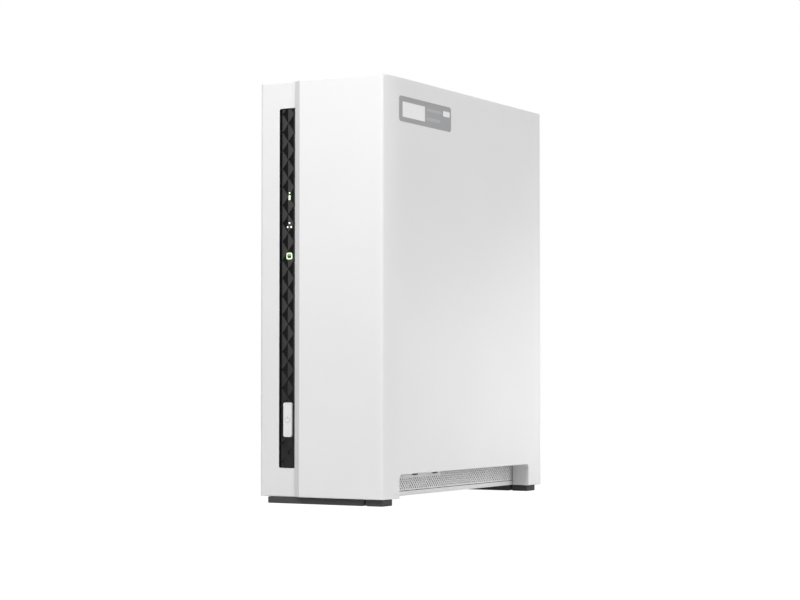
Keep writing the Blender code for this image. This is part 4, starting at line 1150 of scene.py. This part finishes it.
def board_parts():
    solids = []
    for node, count, upright in (("memory_chip_lower", 14, True), ("memory_chip_upper", 14, True),
                                 ("flash_chip", 18, False)):
        solids += legs(node, count, upright)
        x, y, z = spans(node)
        chip = block(f"{node}_fine", x, y, z, 0.12)
        dot = rod("dot", "X", (y[0] + 1.2, z[1] - 1.2), 0.4, (x[1] - 0.08, x[1] + 1), 16)
        finish(cut(chip, dot), "chip_black", node)
    finish(gathered("chip_legs", solids), "tin")
    small_parts()
    capacitors()
    x, _, _ = spans("clock_battery")
    profile = [(8.6, x[0]), (9.6, x[0] + 0.2), (10, x[0] + 0.8), (10, x[1] - 0.6), (9.8, x[1] - 0.15),
               (9.4, x[1]), (0.3, x[1])]
    y, z = middle("clock_battery", "Y", "Z")
    cell = lathe("clock_battery_fine", "X", (y, z), profile, 64)
    finish(cell, "bright_steel", "clock_battery")
    clip = [block("post", (BOARD_FACE, x[1] + 0.25), (y - 12, y - 10.2), around(z, 3), 0.2),
            block("tab", (x[1] + 0.02, x[1] + 0.3), (y - 12, y - 5.5), around(z, 1.6), 0.1)]
    finish(gathered("battery_clip", clip), "tin")
    x, _, _ = spans("buzzer")
    profile = [(4.75, x[0]), (4.75, x[1] - 0.5), (4.3, x[1]), (1.1, x[1]), (0.9, x[1] - 0.5), (0.9, x[1] - 2),
               (0.1, x[1] - 2)]
    body = lathe("buzzer_fine", "X", middle("buzzer", "Y", "Z"), profile, 40)
    finish(body, "chip_black", "buzzer")
    x, y, z = spans("fan_header")
    shroud = block("fan_header_fine", x, y, z, 0.25)
    well = block("well", widened(x, -0.7), widened(y, -0.7), (z[1] - 2.5, z[1] + 1))
    finish(cut(shroud, well), "connector_white", "fan_header")


# --- Ports -------------------------------------------------------------------


def network_jack():
    """A shielded socket with a dark liner, eight contacts and two lamps."""
    x, y, z = spans("network_jack")
    centre = sum(z) / 2
    jack = block("network_jack_fine", x, y, z, 0.3)
    low, high = x[0] + 2.4, x[1] - 1.6
    mouth_outline = rounded((low, high), around(centre, 5.9), 0.4, 3)
    hole = prism("hole", mouth_outline, (y[1] - 14, y[1] + 5), "Y")
    latch = block("latch", (x[0] + 0.9, x[0] + 3), (y[1] - 12, y[1] + 5), around(centre, 3))
    cut(jack, join(hole, latch))
    finish(jack, "bright_steel", "network_jack")
    liner = block("network_liner", (low + 0.1, high - 0.1), (y[1] - 13.9, y[1] - 1.0),
                  around(centre, 5.8))
    cut(liner, block("room", (low + 1, high - 1), (y[1] - 12.5, y[1] + 1), around(centre, 5.0)),
        block("way", (low - 1, low + 2), (y[1] - 12.5, y[1] + 1), around(centre, 3)))
    finish(liner, "chip_black")
    for number, (side, lamp) in enumerate(((-1, "lamp_off_green"), (1, "lamp_off_amber")), 1):
        place = sorted((centre + side * 4.0, centre + side * 6.6))
        lens = block(f"network_lamp_{number}", (x[0] + 0.5, x[0] + 1.9), (y[1] - 4, y[1] + 0.1), place, 0.2)
        finish(lens, lamp)
    return [block("contact", (high - 1.4, high - 1.1), (y[1] - 12.4, y[1] - 3), around(at, 0.2))
            for at in (centre - 4.41 + i * 1.26 for i in range(8))]


def usb_port(node):
    """A folded steel shell around a plastic tongue with four contacts."""
    x, y, z = spans(node)
    shell = prism(f"{node}_fine", rounded(x, z, 0.5, 4), y, "Y", (0, 0.12))
    sheet = 0.45
    room = rounded(widened(x, -sheet), widened(z, -sheet), 0.3, 3)
    cut(shell, prism("room", room, (y[1] - 13, y[1] + 5), "Y"))
    finish(shell, "bright_steel", node)
    tongue = block(f"{node}_tongue", (x[0] + 1.0, x[0] + 3.0), (y[1] - 13.1, y[1] - 1.2),
                   widened(z, -1.2), 0.2)
    finish(tongue, "usb_blue" if node.endswith("lower") else "chip_black")
    pitch = (z[1] - z[0] - 6.4) / 3
    return [block("contact", (x[0] + 2.95, x[0] + 3.12), (y[1] - 10, y[1] - 2), around(at, 0.5))
            for at in (z[0] + 3.2 + i * pitch for i in range(4))]


def ports():
    contacts = network_jack() + usb_port("usb_port_upper") + usb_port("usb_port_lower")
    x, y, z = spans("power_inlet")
    centre = middle("power_inlet", "X", "Z")
    inlet = block("power_inlet_fine", x, y, z, 0.3)
    cut(inlet, mouth("bore", circle(centre, 3.2, 40), y[1] - 10, y[1], "Y", 1, 0.3))
    finish(inlet, "chip_black", "power_inlet")
    profile = [(0.95, y[1] - 10.2), (0.95, y[1] - 2.0), (0.7, y[1] - 1.5), (0.2, y[1] - 1.4)]
    finish(lathe("power_pin", "Y", centre, profile, 24), "bright_steel")
    # Twenty-two contacts of the drive's receptacle, and the riser's own edge contacts
    x, y, z = spans("sata_receptacle")
    wall = x[0] + 2.8
    for i in range(22):
        at = y[0] + 3.2 + i * (y[1] - y[0] - 6.4) / 21
        contacts.append(block("contact", (wall - 0.03, wall + 0.18), around(at, 0.3),
                              (z[0] + 2.5, z[1] - 0.4)))
    x, y, z = spans("riser_board")
    for i in range(24):
        at = y[0] + 2 + i * (y[1] - y[0] - 4) / 23
        contacts.append(block("contact", (x[0] + 6.2, x[0] + 8.5), around(at, 0.35),
                              (z[1] - 0.02, z[1] + 0.05)))
    finish(gathered("gold_contacts", contacts), "gold")


# --- Hard drive --------------------------------------------------------------


def drive_lid():
    """A pressed lid: a rim for its screws, a raised field and a ring around the spindle."""
    x, y, z = spans("drive_lid")
    raised = x[1]
    rim = raised - 0.5
    spindle = middle("platter_stack", "Y", "Z")
    lid = prism("drive_lid_fine", rounded(y, z, 2.4, 6), (x[0], rim), "X", (0, 0.3))
    field = rounded(widened(y, -5.5), (z[0] + 8, z[1] - 6.5), 9, 8)
    levels = ((0, rim - 0.2), (0, rim + 0.03), (0.25, rim + 0.25), (0.75, raised - 0.06), (1.2, raised))
    join(lid, loft("field", [[(at, a, b) for a, b in shrunk(field, inset)] for inset, at in levels]))
    cutters = []
    for radius in (30, 12):
        ring = lathe("ring", "X", spindle, [(radius, raised - 0.22), (radius + 0.6, raised + 1)], 72)
        cutters.append(cut(ring, rod("core", "X", spindle, radius - 1.1, (raised - 1, raised + 2), 72)))
    places = [(a, b) for a in widened(y, -2.7) for b in (z[0] + 2.9, z[0] + 69, z[1] - 2.9)]
    cutters += [rod("sink", "X", place, 2.2, (rim - 0.35, rim + 2), 28) for place in places]
    cutters.append(rod("breather", "X", (y[1] - 14, z[0] + 15), 0.9, (raised - 0.6, raised + 1), 20))
    cut(lid, *cutters)
    finish(lid, "lid_steel", "drive_lid", body="drive_tray")
    heads = []
    for place in places:
        profile = [(1.8, rim - 0.38), (1.8, rim - 0.1), (1.45, rim + 0.1), (0.2, rim + 0.12)]
        star = [r for i in range(12) for r in arc(place, 0.85 if i % 2 else 0.6, i * 30, i * 30, 1)[:1]]
        socket = prism("star", star, (rim - 0.25, rim + 1), "X")
        heads.append(cut(lathe("head", "X", place, profile, 24), socket))
    finish(gathered("drive_lid_screws", heads), "screw_steel", body="drive_tray")
    top, thick = raised, 0.05
    paper = prism("drive_label", rounded(widened(y, -12), (z[0] + 13, z[0] + 53), 2, 5),
                  (top - 0.02, top + thick), "X")
    finish(paper, "paper", body="drive_tray")
    lines = []
    # Each line's or field's span along Y and up Z, from the lid's corner
    fields = ((16, 46, 46, 50), (16, 72, 41.5, 42.5), (16, 64, 38.5, 39.5), (16, 74, 35.5, 36.5),
              (16, 58, 32.5, 33.5), (16, 40, 18, 24), (62, 84, 45, 50), (78, 84, 18, 24))
    for left, right, low, high in fields:
        lines.append(block("line", (top + thick - 0.01, top + thick + 0.02), (y[0] + left, y[0] + right),
                           (z[0] + low, z[0] + high)))
    finish(gathered("drive_label_lines", lines), "label_grey", body="drive_tray")
    seal = rod("spindle_seal", "X", spindle, 8.5, (top - 0.02, top + thick), 48)
    finish(seal, "foil", body="drive_tray")


def drive_board_parts():
    face = spans("drive_board")[0][0]
    chips = [block("chip", (face - 0.9, face + 0.02), (a, a + wide), (b, b + tall), 0.1)
             for a, b, wide, tall in ((-30, 70, 16, 16), (-6, 74, 10, 12), (-50, 60, 9, 7), (10, 50, 9, 12))]
    finish(gathered("drive_board_chips", chips), "chip_black", body="drive_tray")


# --- Putting it together -----------------------------------------------------

make_stage()
WHITE = (0.86, 0.86, 0.86)
# Painted shade on the slanting band beside the strip: the cover's white is darker there, as the band faces
# away from the light.
SHADED_BAND = ((SEAM_X - 0.2, BAND_X), FRONT + STEP + 0.2, 0.8)
# For each plastic: colour, roughness, then grain size, its depth, shine, unevenness and painted shade band
PLASTICS = {
    "case_white": (WHITE, 0.42, 0.35, 0.004),
    # The left shell is the cover's plastic with painted shade: its white is a little darker.
    "shell_white": ((0.83, 0.83, 0.83), 0.42, 0.35, 0.004),
    "cover_white": (WHITE, 0.42, 0.35, 0.004, 0.45, 0.985, SHADED_BAND),
    "grille_white": ((0.80, 0.80, 0.80), 0.45),
    "button_white": ((0.84, 0.84, 0.84), 0.3, 0.3, 0.003),
    "symbol_grey": ((0.55, 0.55, 0.55), 0.4),
    "foot_rubber": ((0.075, 0.075, 0.077), 0.8, 0.25, 0.02, 0.3, 0.9),
    "strip_black": ((0.008, 0.008, 0.009), 0.35, 0.3, 0.003),
    "label_grey": ((0.42, 0.42, 0.43), 0.4, 0.5, 0.002),
    "label_pale": ((0.96, 0.96, 0.96), 0.4, 0.5, 0.002),
    "label_line": ((0.50, 0.51, 0.51), 0.4, 0.5, 0.002),
    "guide_clear": ((0.75, 0.80, 0.74), 0.25),
    "lamp_off_green": ((0.10, 0.32, 0.12), 0.2),
    "lamp_off_amber": ((0.50, 0.26, 0.05), 0.2),
    "fan_black": ((0.018, 0.018, 0.019), 0.4, 0.4, 0.006, 0.5, 0.85),
    "fan_blade": ((0.022, 0.022, 0.023), 0.34, 0.6, 0.003, 0.5, 0.85),
    "wire_red": ((0.45, 0.02, 0.02), 0.4, 0.3, 0.003),
    "wire_black": ((0.02, 0.02, 0.021), 0.45, 0.3, 0.003),
    "wire_yellow": ((0.60, 0.42, 0.03), 0.4, 0.3, 0.003),
    "connector_white": ((0.70, 0.68, 0.62), 0.45, 0.3, 0.004),
    "chip_black": ((0.025, 0.025, 0.027), 0.5, 0.2, 0.004, 0.4, 0.88),
    "part_brown": ((0.16, 0.11, 0.075), 0.45, 0.4, 0.003, 0.4, 0.8),
    "usb_blue": ((0.02, 0.10, 0.45), 0.4, 0.3, 0.003),
    "paper": ((0.80, 0.80, 0.79), 0.7, 0.2, 0.003),
}
# For each metal: colour, roughness, the streaks' stretch, then the mottle's size and the depth
METALS = {
    "screw_steel": ((0.52, 0.53, 0.54), 0.28, (1, 1, 1), 1.5),
    "foil": ((0.72, 0.73, 0.74), 0.35, (1, 1, 1), 3.0),
    "tin": ((0.68, 0.69, 0.70), 0.3, (1, 1, 1), 1.0),
    "gold": ((0.85, 0.62, 0.25), 0.25, (1, 1, 1), 1.0),
    "bright_steel": ((0.66, 0.67, 0.68), 0.24, (1, 25, 1), 8.0),
    "bright_aluminium": ((0.78, 0.79, 0.80), 0.26, (1, 1, 25), 10.0),
    "anodised": ((0.58, 0.60, 0.62), 0.36, (1, 1, 25), 9.0),
    "galvanised": ((0.62, 0.63, 0.64), 0.36, (1, 1, 25), 5.0),
    "cast_aluminium": ((0.42, 0.43, 0.44), 0.5, (1, 1, 1), 4.0, 0.03),
    "lid_steel": ((0.60, 0.61, 0.62), 0.3, (1, 25, 1), 40.0, 0.002),
    "platter_mirror": ((0.86, 0.86, 0.87), 0.1, (1, 1, 1), 30.0, 0.0005),
}
LAMP_LOOKS = {
    "lamp_green": ((0.82, 0.95, 0.72), 0.8),
    "lamp_warm": ((1.0, 0.90, 0.84), 0.75),
    "lamp_pale": ((0.75, 0.92, 0.62), 0.6),
}
# Where the strip glows around its lit marks: centre, reach and colour
GLOWS = (
    ((MARK_X, RIDGE_Y, 137.2), 2.6, (0.008, 0.035, 0.005)),
    ((MARK_X, RIDGE_Y, 124.2), 2.2, (0.02, 0.02, 0.01)),
    ((MARK_X, RIDGE_Y, 110.4), 3.4, (0.02, 0.085, 0.015)),
)
LOOKS = {
    "strip_lit": lit_strip("strip_lit", GLOWS),
    "board_green": solder_mask("board_green", (0.012, 0.075, 0.035)),
    "board_blue": solder_mask("board_blue", (0.010, 0.040, 0.075)),
}
for make, rows in ((moulded, PLASTICS), (rolled, METALS), (glowing, LAMP_LOOKS)):
    LOOKS.update({name: make(name, *values) for name, values in rows.items()})

# CAD nodes shown as they are, with a look of their own
KEPT = (
    ("case_white", ("base_frame",)),
    ("board_green", ("mainboard", "front_board", "riser_board")),
    ("board_blue", ("drive_board",)),
    ("chip_black", ("processor", "reset_switch", "reset_button", "riser_slot", "sata_receptacle",
                    "power_switch")),
    ("anodised", ("heatsink",)),
    ("galvanised", ("drive_bracket",)),
    ("cast_aluminium", ("drive_case",)),
    ("platter_mirror", ("platter_stack",)),
    ("bright_aluminium", ("head_arm",)),
)
for look, nodes in KEPT:
    for node in nodes:
        painted(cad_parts[node], look)
left_shell()
right_cover()
side_label()
grilles()
feet()
indicator_strip()
lit_marks()
power_button()
screws()
rear_panel()
fan()
leads()
board_parts()
ports()
drive_lid()
drive_board_parts()
